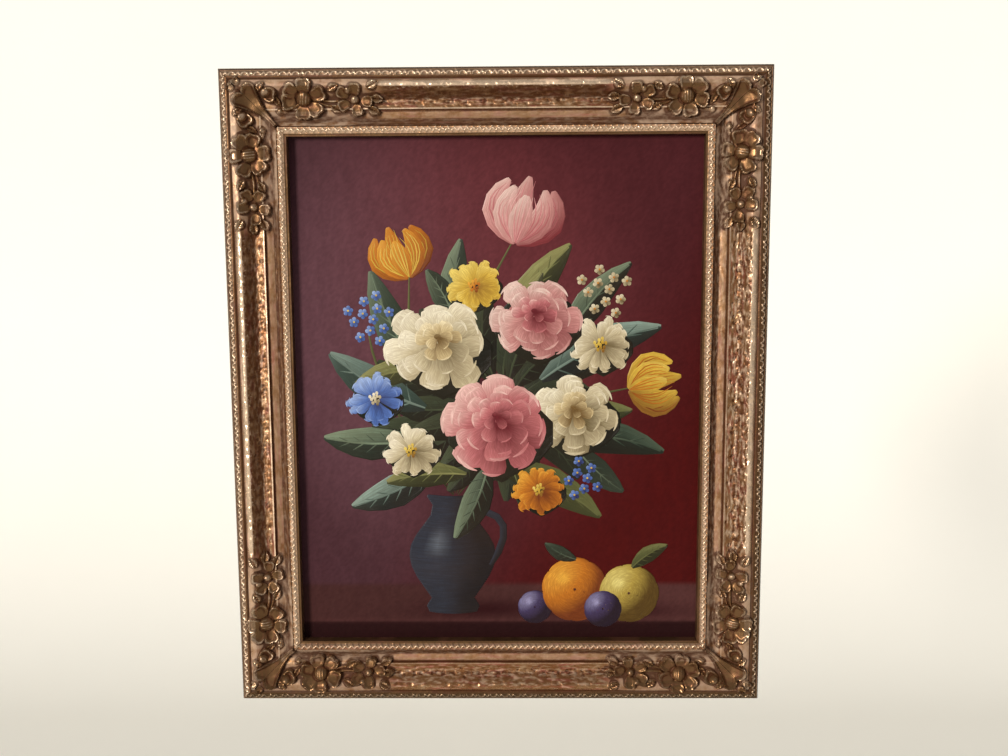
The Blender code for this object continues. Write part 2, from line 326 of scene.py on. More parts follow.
floor_z = MIDDLE_Z - FRAME_HEIGHT / 2 - FLOOR_DROP
outline = [(-SWEEP_HALF_WIDTH, floor_z)]
for i in range(SWEEP_STEPS + 1):
    turn = math.pi / 2 * i / SWEEP_STEPS
    away = SWEEP_DEPTH - SWEEP_BEND * (1 - math.sin(turn))
    outline.append((away, floor_z + SWEEP_BEND * (1 - math.cos(turn))))
outline.append((SWEEP_DEPTH, floor_z + SWEEP_TOP))
corners = [(way * SWEEP_HALF_WIDTH * MM, y * MM, z * MM) for y, z in outline for way in (-1, 1)]
strips = [(2 * i, 2 * i + 1, 2 * i + 3, 2 * i + 2) for i in range(len(outline) - 1)]
sweep_mesh = bpy.data.meshes.new("sweep")
sweep_mesh.from_pydata(corners, [], strips)
sweep_mesh.shade_smooth()
plaster = Finish("pale_floor", Roughness=0.9)
plaster.set(Base_Color=plaster.blend(plaster.noise(400.0), PALE, LESS_PALE))
sweep = stand("sweep", sweep_mesh, plaster.material)
print(f"floor at z = {floor_z * MM:.3f} m")


# %% [markdown]
# ## The moulding
#
# The frame is made of one moulding, cut on the mitre. From the outside it has a rounded edge, a band
# of small carved arches, a hollow ogee panel that falls to a crisp arris, a cove, and a band of small
# zigzag teeth next to the picture. A moulding is a section swept along a line, and here the section
# is a function that gives the height at each distance from the outer edge. Carving is then no more
# than a number added to that height, so numpy works out a whole rail at once.

# %% The section as a function
def quarter(start, end, low, high, steps, bend):
    """Points after start up to end, whose height goes from low to high along a bend."""
    shares = np.arange(1, steps + 1) / steps
    return list(zip(start + (end - start) * shares, low + (high - low) * bend(shares)))


def flat_end(share):
    return np.sin(math.pi / 2 * share)


def flat_start(share):
    return 1 - np.cos(math.pi / 2 * share)


def wave(share):
    return (1 - np.cos(math.pi * share)) / 2


def crowned(start, end, height, crown, steps=8):
    shares = np.arange(steps + 1) / steps
    return list(zip(start + (end - start) * shares, height + crown * np.sin(math.pi * shares)))


section = [(0.0, SIDE_HEIGHT)]
section += quarter(0.0, EDGE_END, SIDE_HEIGHT, OUTER_BAND_HEIGHT - OUTER_BAND_FALL, 6, flat_end)
section += [
    (across, height - OUTER_BAND_FALL * (OUTER_BAND_END - across) / (OUTER_BAND_END - EDGE_END))
    for across, height in crowned(EDGE_END, OUTER_BAND_END, OUTER_BAND_HEIGHT, OUTER_BAND_CROWN)[1:]
]
section += [(FILLET_END, OUTER_BAND_HEIGHT), (GROOVE_END, GROOVE_HEIGHT)]
section += quarter(GROOVE_END, CREST, GROOVE_HEIGHT, CREST_HEIGHT, 6, flat_end)
section += quarter(CREST, FLOOR, CREST_HEIGHT, FLOOR_HEIGHT, 16, wave)
section += quarter(FLOOR, ARRIS, FLOOR_HEIGHT, ARRIS_HEIGHT, 8, flat_start)
section += [(STEP_END, STEP_HEIGHT)]
section += quarter(STEP_END, COVE, STEP_HEIGHT, COVE_HEIGHT, 6, flat_start)
section += [(COVE_END, QUIRK_HEIGHT)]
section += crowned(INNER_BAND, INNER_BAND_END, INNER_BAND_HEIGHT, INNER_BAND_CROWN)
section += [(LIP_START, LIP_HEIGHT), (RAIL_WIDTH, LIP_HEIGHT)]
SECTION_ACROSS, SECTION_HEIGHT = np.array(section).T


def moulding_height(across):
    return np.interp(across, SECTION_ACROSS, SECTION_HEIGHT)


print(f"the section has {len(section)} points, the highest {SECTION_HEIGHT.max():.1f} mm")

# %% [markdown]
# The points of a rail lie on lines along it. Where the carving is small the lines lie close together,
# and in the plain members and on the back they are few. Each line starts and ends on the mitre, so
# the lines near the picture are shorter.

# %% Lines across a rail
MEMBERS = [
    (0.0, EDGE_END, 5),
    (EDGE_END, OUTER_BAND_END, 13),
    (OUTER_BAND_END, FILLET_END, 3),
    (FILLET_END, GROOVE_END, 2),
    (GROOVE_END, ARRIS, 44),
    (ARRIS, STEP_END, 2),
    (STEP_END, COVE, 11),
    (COVE, COVE_END, 8),
    (COVE_END, INNER_BAND, 2),
    (INNER_BAND, INNER_BAND_END, 14),
    (INNER_BAND_END, LIP_START, 1),
    (LIP_START, RAIL_WIDTH, 2),
]
face_lines = np.concatenate(
    [np.linspace(start, end, count, endpoint=False) for start, end, count in MEMBERS]
    + [[RAIL_WIDTH]]
)
behind = [
    (RAIL_WIDTH, LIP_SIDE_HEIGHT),
    (RAIL_WIDTH, RABBET_HEIGHT),
    (RABBET_EDGE, RABBET_HEIGHT),
    (RABBET_EDGE, 0.0),
    (BACK_MIDDLE, 0.0),
    (0.0, 0.0),
]
behind += [(0.0, level) for level in SIDE_LEVELS]
behind_across, behind_height = np.array(behind).T
ROW_LENGTH = 0.89


def mitred(across, length, count):
    """Places along lines that start and end on the mitre, the same count of them on each line."""
    start = (across + MITRE_INSET)[None, :]
    return start + (length - 2 * start) * np.linspace(0, 1, count)[:, None]


print(f"{len(face_lines)} lines on the face, {len(behind_across)} round the back")


# %% [markdown]
# ## Carved forms
#
# Each flower, leaf and bead is laid on the moulding as a relief, a height above the face. One class
# keeps the relief of a rail's end and lays forms on it. A form is worked out in its own coordinates,
# which run from -1 to 1 across it, and the higher of the forms wins, as when clay is laid on clay.
# A second grid notes where ornament lies, for the gilding.

# %% Soft step and hump
def soft_step(low, high, value):
    share = np.clip((value - low) / (high - low), 0, 1)
    return share * share * (3 - 2 * share)


def hump(value, middle, reach):
    """One at the middle, falling off softly on both sides."""
    return np.exp(-(((value - middle) / reach) ** 2))


# %% The class that lays forms
GROOVE_PITCH = 2.6
DOME_POWER = 0.55
PETAL_POWER = 2.6


class Carving:
    """Relief on one end of a rail. Places are (distance from the corner along the rail, across it)."""

    def __init__(self, along, across, rng):
        self.along = along
        self.across = across
        self.rng = rng
        self.relief = np.zeros_like(along)

    def own(self, place, size, turn):
        """The points in a form's own coordinates, with the form turned and of this size."""
        from_s = self.along - place[0]
        from_t = self.across - place[1]
        u = from_s * math.cos(turn) + from_t * math.sin(turn)
        v = from_t * math.cos(turn) - from_s * math.sin(turn)
        return u / (size[0] / 2), v / (size[1] / 2)

    def lay(self, form):
        self.relief = np.maximum(self.relief, form)

    def nudged(self, place, reach=0.7):
        return tuple(np.array(place) + self.rng.uniform(-reach, reach, 2))

    def bead(self, place, size, height, groove=0.0, turn=0.0):
        """A domed form, plain or with fine grooves across it."""
        u, v = self.own(place, size, turn)
        inside = np.clip(1 - u * u - v * v, 0, None)
        ridges = groove * np.cos(u * size[0] * math.pi / GROOVE_PITCH) * (inside > 0.12)
        self.lay(height * inside**DOME_POWER + ridges * inside)

    def petal(self, place, size, height, turn, notch=0.0):
        """A petal that lifts outwards, hollow inside a curled rim, creased and notched at its end."""
        u, v = self.own(place, size, turn)
        spread = v / (1 + 0.24 * np.clip(u, -1, 1))
        reach = (np.abs(u) ** PETAL_POWER + np.abs(spread) ** PETAL_POWER) ** (1 / PETAL_POWER)
        reach = reach + notch * hump(v, 0, 0.24) * soft_step(0.1, 1, u)
        wall = 1 - soft_step(0.87, 1.0, reach)
        lean = self.rng.uniform(-0.10, 0.10)
        cup = soft_step(0.42, 0.86, reach) * soft_step(-0.75, 0.25, u)
        rise = 0.40 + 0.16 * soft_step(-0.9, 0.8, u) + 0.44 * cup + lean * v
        self.lay(height * wall * rise)

    def leaf(self, place, size, height, turn, veins=0):
        """A pointed leaf with a raised edge, a middle vein and side veins."""
        u, v = self.own(place, size, turn)
        half = np.clip(1 - np.abs(u) ** 1.7, 0.001, None)
        reach = np.maximum(np.abs(v) / half, np.abs(u))
        wall = 1 - soft_step(0.76, 1.0, reach)
        rise = 0.62 + 0.38 * np.clip(np.abs(v) / half, 0, 1)
        ribs = 0.10 * np.cos((u * 2.2 + np.abs(v)) * math.pi * veins) if veins else 0.0
        self.lay(height * wall * (rise + ribs - 0.22 * hump(v, 0, 0.10)))

    def stem(self, start, end, width, height, bow=0.0):
        """A rounded stem from one place to another, bowed to one side."""
        run = Vector(end) - Vector(start)
        middle = (Vector(start) + Vector(end)) / 2
        u, v = self.own(middle, (run.length, width), math.atan2(run.y, run.x))
        v = v - bow * (1 - u * u) * 2 / width
        inside = np.clip(1 - v * v, 0, None) * (1 - soft_step(0.9, 1.08, np.abs(u)))
        self.lay(height * inside**0.5)


# %% [markdown]
# ## The corner spray
#
# Every rail has the same carving at both of its ends, as mirror images: a leaf like a heart on the
# mitre, a bud, a large flower with six cupped petals, a stem with two leaves, a small flower, and
# three leaves at the end. The frame was finished by hand, so no two are quite alike, and every form
# is moved and turned by a small seeded amount. A form's numbers are its length and width in brackets
# and then its height, and for a leaf the place before them and the turn in degrees after them. A
# stem's are its width, its height and how far it bows.

# %% Places and sizes in the spray
LEAF_FOOT = 54.0
LEAF_STEM = 4.0
LEAF_STEM_HALF = 2.1
LEAF_FLARE = 0.0098
LEAF_BASE = 30.0
LOBE_AT = 40.0
LOBE_SPREAD = 6.2
LOBE_HALF = 7.6
LOBE_LENGTH = 8.5
LEAF_RELIEF = 5.8
LEAF_FLOOR = 0.50
LEAF_RIM = 0.70, 0.93
LEAF_EDGE = 0.88, 1.02
LEAF_BED = 0.80, 1.15
VALLEY_ROUND = 5.0
TIP_CURLS = [(18.0, 12.8), (12.4, 17.8)]
TIP_CURL = (8.6, 7.6), 4.4, math.radians(225)
BUD = (47.5, 25.0)
BUD_PETAL = (15.5, 14.0), 4.6
BUD_HEART_AT = (-2.2, -1.2)
BUD_HEART = (10.2, 9.6), 5.6
BUD_LEAVES = [((40.5, 18.0), (13.0, 7.0), 3.0, -52), ((56.0, 30.0), (13.0, 6.5), 2.8, 58)]
BEAD_BY_BUD = (57.5, 40.5)
BUD_BEAD = (6.4, 6.4), 3.4
BIG_FLOWER = (81.0, 28.5)
BIG_STEM_FOOT = (57.0, 42.0)
BIG_STEM = 2.8, 2.2, 2.0
BIG_PETAL_ANGLES = [42, 99, 167, 220, 274, 338]
BIG_PETAL_RING = (14.2, 12.2)
BIG_PETAL_SIZE = (15.0, 14.8)
BIG_PETAL_HEIGHT = 5.2
BIG_EYE = (15.0, 14.4), 7.0
EYE_GROOVE = 0.55
STEMS_BETWEEN = [((16, 1), (-9, 0), 3.0, 2.6, 1.2), ((14, 3), (-9, 4), 2.2, 1.8, 2.4)]
SMALL_FLOWER = (128.5, 30.0)
SMALL_PETALS = [(11.3, 1.5), (2.0, 9.3), (-10.0, 5.0), (-11.0, -6.0), (0.5, -9.3)]
SMALL_PETAL = (12.4, 11.0), 4.4
SMALL_EYE = (8.6, 8.6), 5.6
SMALL_BERRY_AT = (-6.0, -8.0)
SMALL_BERRY = (7.0, 7.0), 4.4
STEM_LEAVES = [(109.0, 19.5, -28), (110.0, 38.5, 30)]
STEM_LEAF = (12.5, 8.0), 3.6
END_LEAVES = [(145.5, 17.0, -30), (149.0, 29.0, 6), (146.0, 40.0, 26)]
END_LEAF = (13.5, 9.6), 3.7
SPRAY_END = 153.0


# %% The leaf on the mitre
def carve_corner_leaf(carving):
    """A heart-shaped leaf, hollow inside a curled rim, on a stem from the sight corner.

    Gives back where it lies and the place across the rail that its bed takes its height from: the
    valley of the mitre is rounded under it, so that both halves are one hollow."""
    inwards = (carving.along + carving.across) / 2
    from_foot = (LEAF_FOOT - inwards) * math.sqrt(2)
    aside = np.abs(carving.along - carving.across) / math.sqrt(2)
    half = LEAF_STEM_HALF + LEAF_FLARE * np.clip(from_foot - LEAF_STEM, 0, LOBE_AT - LEAF_STEM) ** 2
    lobe = np.clip(1 - ((aside - LOBE_SPREAD) / LOBE_HALF) ** 2, 0, 1)
    end = LOBE_AT + LOBE_LENGTH * np.sqrt(lobe)
    reach = np.maximum(aside / half, (from_foot - LEAF_BASE) / (end - LEAF_BASE))
    reach = np.maximum(reach, 1 - from_foot / LEAF_STEM)
    wall = 1 - soft_step(*LEAF_EDGE, reach)
    hollow = LEAF_FLOOR + (1 - LEAF_FLOOR) * soft_step(*LEAF_RIM, reach)
    carving.lay(LEAF_RELIEF * wall * hollow)
    for place in TIP_CURLS:
        carving.petal(place, *TIP_CURL, notch=0.1)
    rounded = np.sqrt(aside**2 + VALLEY_ROUND**2) - VALLEY_ROUND
    return 1 - soft_step(*LEAF_BED, reach), inwards - rounded / math.sqrt(2)


# %% The flowers and leaves along the rail
def shifted(place, by):
    return place[0] + by[0], place[1] + by[1]


def carve_spray(carving):
    rng = carving.rng
    bud = carving.nudged(BUD)
    turn = rng.uniform(0.2, 0.9)
    carving.petal(bud, *BUD_PETAL, turn, notch=0.12)
    carving.bead(shifted(bud, BUD_HEART_AT), *BUD_HEART)
    for place, size, height, turn in BUD_LEAVES:
        carving.leaf(carving.nudged(place), size, height, math.radians(turn), veins=2)
    carving.bead(carving.nudged(BEAD_BY_BUD), *BUD_BEAD)
    middle = carving.nudged(BIG_FLOWER)
    carving.stem(BIG_STEM_FOOT, middle, *BIG_STEM)
    for angle in BIG_PETAL_ANGLES:
        angle = math.radians(angle + rng.uniform(-5, 5))
        ring = rng.uniform(0.96, 1.05)
        out = ring * BIG_PETAL_RING[0] * math.cos(angle), ring * BIG_PETAL_RING[1] * math.sin(angle)
        size = [side * rng.uniform(0.94, 1.08) for side in BIG_PETAL_SIZE]
        carving.petal(shifted(middle, out), size, BIG_PETAL_HEIGHT, angle, notch=0.14)
    carving.bead(middle, *BIG_EYE, groove=EYE_GROOVE, turn=rng.uniform(-0.3, 0.3))
    small = carving.nudged(SMALL_FLOWER)
    for start, end, *sizes in STEMS_BETWEEN:
        carving.stem(shifted(middle, start), shifted(small, end), *sizes)
    for s, t, turn in STEM_LEAVES:
        carving.leaf(carving.nudged((s, t)), *STEM_LEAF, math.radians(turn), veins=2)
    for s, t in SMALL_PETALS:
        carving.petal(shifted(small, (s, t)), *SMALL_PETAL, math.atan2(t, s), notch=0.1)
    carving.bead(small, *SMALL_EYE)
    carving.bead(shifted(small, SMALL_BERRY_AT), *SMALL_BERRY)
    for s, t, turn in END_LEAVES:
        carving.leaf(carving.nudged((s, t)), *END_LEAF, math.radians(turn), veins=3)


# %% [markdown]
# ## Bands and panel
#
# The two narrow bands are carved with lines that stand proud of a sunk ground. The distance from a
# point to the nearest line gives such a pattern: it is highest on the line and falls off at both
# sides. Between the sprays the panel was worked over with a small punch. Cells with scattered
# middles give dents of uneven size, each with its own depth.

# %% Carved bands
TOOTH_PITCH = 5.9
TOOTH_FOOT = 0.14
TOOTH_REACH = 0.66
TOOTH_LINE = 1.15
TOOTH_DEPTH = 1.3
ARCH_PITCH = 12.0
ARCH_RADIUS = 3.0
ARCH_CENTRE = 1.4
ARCH_END = 1.9
DART_STEEPNESS = 1.7
DART_TIP = 1.6
DART_HALF = 2.1
ARCH_LINE = 0.95
ARCH_DEPTH = 1.0
NOWHERE_NEAR = 9.0


def ridge(distance, half_width):
    return 1 - soft_step(0.25 * half_width, half_width, distance)


def carve_teeth(from_middle, across):
    """A zigzag on the inner band, with sunk triangles on both sides of it."""
    width = INNER_BAND_END - INNER_BAND
    u = (across - INNER_BAND) / width
    phase = from_middle / TOOTH_PITCH
    zigzag = TOOTH_FOOT + TOOTH_REACH * np.abs(2 * (phase - np.floor(phase)) - 1)
    steep = math.hypot(1, 2 * TOOTH_REACH * width / TOOTH_PITCH)
    line = ridge(np.abs(u - zigzag) * width / steep, TOOTH_LINE)
    inside = soft_step(-0.02, 0.1, u) * (1 - soft_step(0.9, 1.02, u))
    return -TOOTH_DEPTH * inside * (1 - line), inside * line


def carve_arches(from_middle, across):
    """Small arches that open inwards and darts on the outer band, in turn."""
    v = across - (EDGE_END + OUTER_BAND_END) / 2
    phase = from_middle / ARCH_PITCH
    x = (phase - np.floor(phase) - 0.5) * ARCH_PITCH
    arch = np.abs(np.hypot(x, (v - ARCH_CENTRE) * 1.05) - ARCH_RADIUS)
    arch = np.where(v < ARCH_END, arch, NOWHERE_NEAR)
    dart_x = np.abs(np.abs(x) - ARCH_PITCH / 2)
    dart = np.abs(dart_x * DART_STEEPNESS - (v + DART_TIP)) / 2.0
    dart = np.where(dart_x < DART_HALF, dart, NOWHERE_NEAR)
    line = ridge(np.minimum(arch, dart), ARCH_LINE)
    inside = soft_step(EDGE_END - 0.3, EDGE_END + 0.4, across)
    inside = inside * (1 - soft_step(OUTER_BAND_END - 0.7, OUTER_BAND_END - 0.1, across))
    return -ARCH_DEPTH * inside * (1 - line), inside * line


# %% Punched panel
DENT_CELL = 3.7
DENT_DEPTH = 0.90
DENT_RADIUS = 0.80
SPECK_HEIGHT = 0.35
SPECK_RADIUS = 0.5
SPECKS_FROM = 0.84


def scattered_cells(along, across, cell, rng):
    """For each point, how far the nearest scattered middle is, in cells, and that middle's value."""
    column = np.floor(along / cell).astype(int)
    row = np.floor(across / cell).astype(int)
    column -= column.min() - 1
    row -= row.min() - 1
    s = along / cell - np.floor(along / cell).min() + 1
    t = across / cell - np.floor(across / cell).min() + 1
    shape = (column.max() + 2, row.max() + 2)
    middles = rng.uniform(0.08, 0.92, (2, *shape))
    values = rng.uniform(0, 1, shape)
    nearest = np.full_like(along, NOWHERE_NEAR)
    value = np.zeros_like(along)
    for i in (-1, 0, 1):
        for j in (-1, 0, 1):
            a, b = column + i, row + j
            distance = np.hypot(s - a - middles[0, a, b], t - b - middles[1, a, b])
            value = np.where(distance < nearest, values[a, b], value)
            nearest = np.minimum(nearest, distance)
    return nearest, value


def punch_panel(along, across, rng):
    distance, value = scattered_cells(along, across, DENT_CELL, rng)
    dents = -DENT_DEPTH * soft_step(0.35, 1.0, value) * np.clip(1 - (distance / DENT_RADIUS) ** 2, 0, 1)
    distance, value = scattered_cells(along, across, DENT_CELL / 2, rng)
    specks = SPECK_HEIGHT * (value > SPECKS_FROM) * np.clip(1 - (distance / SPECK_RADIUS) ** 2, 0, 1)
    return dents + specks


# %% [markdown]
# ## Building a rail
#
# A rail is computed in its own frame: s along it, t across it from the outer edge, h up from the
# back. The sharp members die away near the mitre, where the carver left a smooth slope under the
# leaf. The whole rail wanders a little, in long waves and in short ones.
#
# Ten values are kept with the mesh for the gilder. Hollow says how deep a point lies among its
# neighbours, ornament where carving stands on the ground, panel where the punch was used, lines where
# the carved lines of the bands are, and bare where the wood was left plain. Across, along and run are
# places. One value per rail says how much it was rubbed and also how much painted light it gets, and
# hammered says how deep it was punched.

# %% Smoothing by distance
def blurred(grid, along, across, reach):
    """The grid averaged over about reach millimetres both ways."""
    def weights(places):
        near = np.exp(-(((places[:, None] - places[None, :]) / reach) ** 2) / 2)
        return near / near.sum(axis=1, keepdims=True)
    return weights(along) @ grid @ weights(across).T


def slow_noise(points, pitch, rng):
    """Smooth random values along a line, one knot each pitch millimetres."""
    knots = rng.uniform(-1, 1, int(points.max() / pitch) + 4)
    place = points / pitch + 1
    base = np.floor(place).astype(int)
    share = place - base
    share = share * share * (3 - 2 * share)
    return knots[base] * (1 - share) + knots[base + 1] * share


# %% One rail's face as a grid of heights
MITRE_SMOOTHING = 3.5
SMOOTH_UP_TO, SHARP_FROM = SPRAY_END - 35, SPRAY_END - 3
PANEL_FROM, PANEL_WHOLE = SPRAY_END - 5, SPRAY_END + 5
STRAY_PUNCH = 0.10
LONG_WAVE, LONG_WANDER = 38.0, 0.22
SHORT_WAVE, SHORT_WANDER = 9.0, 0.10


def rail_face(length, punched_share, rng):
    along = mitred(face_lines, length, int(length / ROW_LENGTH) + 1)
    across = np.broadcast_to(face_lines, along.shape)
    from_end = np.minimum(along, length - along)

    plain = moulding_height(face_lines)
    smooth = blurred(plain[None, :], np.zeros(1), face_lines, MITRE_SMOOTHING)[0]
    smooth = np.where((face_lines > GROOVE_END) & (face_lines < COVE_END), smooth, plain)
    relief = np.zeros_like(along)
    beds = []
    for points in (along, length - along):
        near = Carving(points, across, rng)
        beds.append(carve_corner_leaf(near))
        carve_spray(near)
        relief = np.maximum(relief, near.relief)
    ornament = soft_step(0.3, 1.6, relief)
    fade = soft_step(SMOOTH_UP_TO, SHARP_FROM, from_end) * (1 - ornament)
    height = smooth * (1 - fade) + plain * fade
    for under_leaf, place in beds:
        height = height * (1 - under_leaf) + np.interp(place, face_lines, smooth) * under_leaf

    inside = soft_step(GROOVE_END, CREST, across) * (1 - soft_step(ARRIS - 2.5, ARRIS - 0.6, across))
    panel = inside * soft_step(PANEL_FROM, PANEL_WHOLE, from_end)
    punched = punch_panel(along, across, rng) * punched_share
    height = height + relief + punched * (panel + STRAY_PUNCH * (1 - panel) * (across > GROOVE_END))

    from_middle = along - length / 2
    teeth, teeth_lines = carve_teeth(from_middle, across)
    arches, arch_lines = carve_arches(from_middle, across)
    height = height + teeth + arches
    wander = slow_noise(along, LONG_WAVE, rng) * LONG_WANDER
    wander = wander + slow_noise(along + 3 * across, SHORT_WAVE, rng) * SHORT_WANDER
    height += wander * (across > EDGE_END)
    return along, across, height, ornament, panel, np.maximum(teeth_lines, arch_lines)


# %% Points and faces to a mesh that carries values
SHARP_ANGLE = 58


def closed_mesh(name, points, faces, masks, sharp=SHARP_ANGLE):
    """A mesh with its values, its faces turned out, smooth but for edges over the sharp angle."""
    mesh = bpy.data.meshes.new(name)
    mesh.from_pydata(points.tolist(), [], faces)
    for key, values in masks.items():
        layer = mesh.attributes.new(key, "FLOAT", "POINT")
        layer.data.foreach_set("value", np.ascontiguousarray(values, dtype=np.float32).ravel())
    bm = bmesh.new()
    bm.from_mesh(mesh)
    bmesh.ops.recalc_face_normals(bm, faces=bm.faces)
    bm.to_mesh(mesh)
    bm.free()
    mesh.shade_smooth()
    mesh.set_sharp_from_angle(angle=math.radians(sharp))
    return mesh


# %% One rail, face and back
CLOSE_REACH, CLOSE_SHARE = 1.1, 0.50
WIDE_REACH, WIDE_SHARE = 3.6, 0.08


def rail_mesh(name, length, place, turn, rub_and_light, punched_share, rng):
    along, across, height, ornament, panel, lines = rail_face(length, punched_share, rng)
    row_places = along[:, along.shape[1] // 2]
    close = blurred(height, row_places, face_lines, CLOSE_REACH) - height
    wide = blurred(height, row_places, face_lines, WIDE_REACH) - height
    hollow = np.clip(0.5 + CLOSE_SHARE * close + WIDE_SHARE * wide, 0, 1)

    count = along.shape[0]

    def with_back(face, back):
        return np.hstack([face, np.broadcast_to(back, (count, len(behind_across)))])

    along = with_back(along, mitred(behind_across, length, count))
    across = with_back(across, behind_across)
    height = with_back(height, behind_height)
    bare = np.zeros_like(along)
    bare[:, len(face_lines) + 2:-len(SIDE_LEVELS)] = 1.0
    masks = {
        "hollow": with_back(hollow, 0.5),
        "ornament": with_back(ornament, 0.0),
        "panel": with_back(panel, 0.0),
        "lines": with_back(lines, 0.0),
        "bare": bare,
        "across": across,
        "along": np.minimum(along, length - along),
        "run": along + rng.uniform(0, 900),
        "rub_and_light": np.full(along.shape, rub_and_light),
        "hammered": np.full(along.shape, punched_share),
    }

    columns = along.shape[1]
    local = np.stack([along - length / 2, -height, -across], axis=-1).reshape(-1, 3)
    cosine, sine = math.cos(turn), math.sin(turn)
    spun = np.array([[cosine, 0, sine], [0, 1, 0], [-sine, 0, cosine]])
    points = (local @ spun.T + np.array([place[0], 0, place[1]])) * MM

    index = np.arange(count * columns).reshape(count, columns)
    ahead = np.roll(index, -1, axis=1)
    quads = np.stack([index[:-1], index[1:], ahead[1:], ahead[:-1]], axis=-1).reshape(-1, 4)
    faces = [tuple(quad) for quad in quads.tolist()]
    faces += [tuple(index[0].tolist()), tuple(index[-1][::-1].tolist())]
    return closed_mesh(name, points, faces, masks)


# %% [markdown]
# ## The gilding
#
# Water gilding is leaf over red clay over gesso over wood. Rubbing brings the clay up on the high
# places, a brown toning lies in the hollows, and on this frame the ground between the flowers has a
# dull beige wash. The finish is built in that order: leaf first, then clay, wash, toning and the
# bright rubbed edges, each with a mask made from the mesh's values and noise. The brown also carries
# painted shade, in the crevices round the carving, on the panel's slope and as the crest's shadow on
# the floor. The pale gold carries a painted highlight along the crest and the arris. The bare back is
# wood.
#
# Streaks and flakes are drawn out along the rail, the way it was rubbed. Some members were treated on
# their own, so strips across the rail are named first, each from one line to another with the width
# of its soft edges.

# %% Colours, noise and strips of the gilding
LEAF_GOLD = (0.34, 0.175, 0.075)
DEEP_GOLD = (0.25, 0.100, 0.036)
PALE_GOLD = (0.90, 0.67, 0.46)
BRONZE = (0.165, 0.088, 0.038)
RED_CLAY = (0.300, 0.088, 0.058)
BEIGE_WASH = (0.40, 0.265, 0.175)
BROWN_TONING_AND_SHADE = (0.055, 0.0150, 0.0035)
OLIVE_EDGE = (0.072, 0.045, 0.020)
BACK_WOOD = (0.30, 0.19, 0.10)
BACK_WOOD_DARK = (0.17, 0.095, 0.045)
CLOUD_SIZE = 38.0
PATCH_SIZE = 11.0
GRAIN_SIZE = 2.2
STREAKS = 0.035, 0.34, 4.0
FLAKES = 0.13, 0.40, 5.0
FIBRES = 0.02, 0.5, 4.0
MASKS = "hollow", "ornament", "panel", "lines", "bare", "across", "along", "run", "rub_and_light", "hammered"
STRIPS = {
    "outer_band": (1.6, 8.6, 1.0),
    "fillet": (7.8, 10.6, 1.0),
    "fillet_line": (7.9, 10.4, 1.0),
    "field": (FILLET_END - 0.6, COVE_END, 1.0),
    "polished": (FILLET_END, 21.0, 1.0),
    # where the crest's rubbing and its painted highlight lie
    "crest_rub_and_highlight": (9.8, 18.5, 1.8),
    "slope": (15.5, 30.5, 3.5),
    "floor": (27.0, 38.0, 2.0),
    "arris": (ARRIS - 1.2, ARRIS + 0.5, 0.4),
    "cove": (40.0, COVE_END, 1.0),
    "inner_band": (54.6, 61.2, 0.4),
}


# %% Gilding
def strip(across, start, end, soft):
    """One between two lines along the rail, and nothing outside them."""
    return across.between(start, start + soft) * (1 - across.between(end - soft, end))


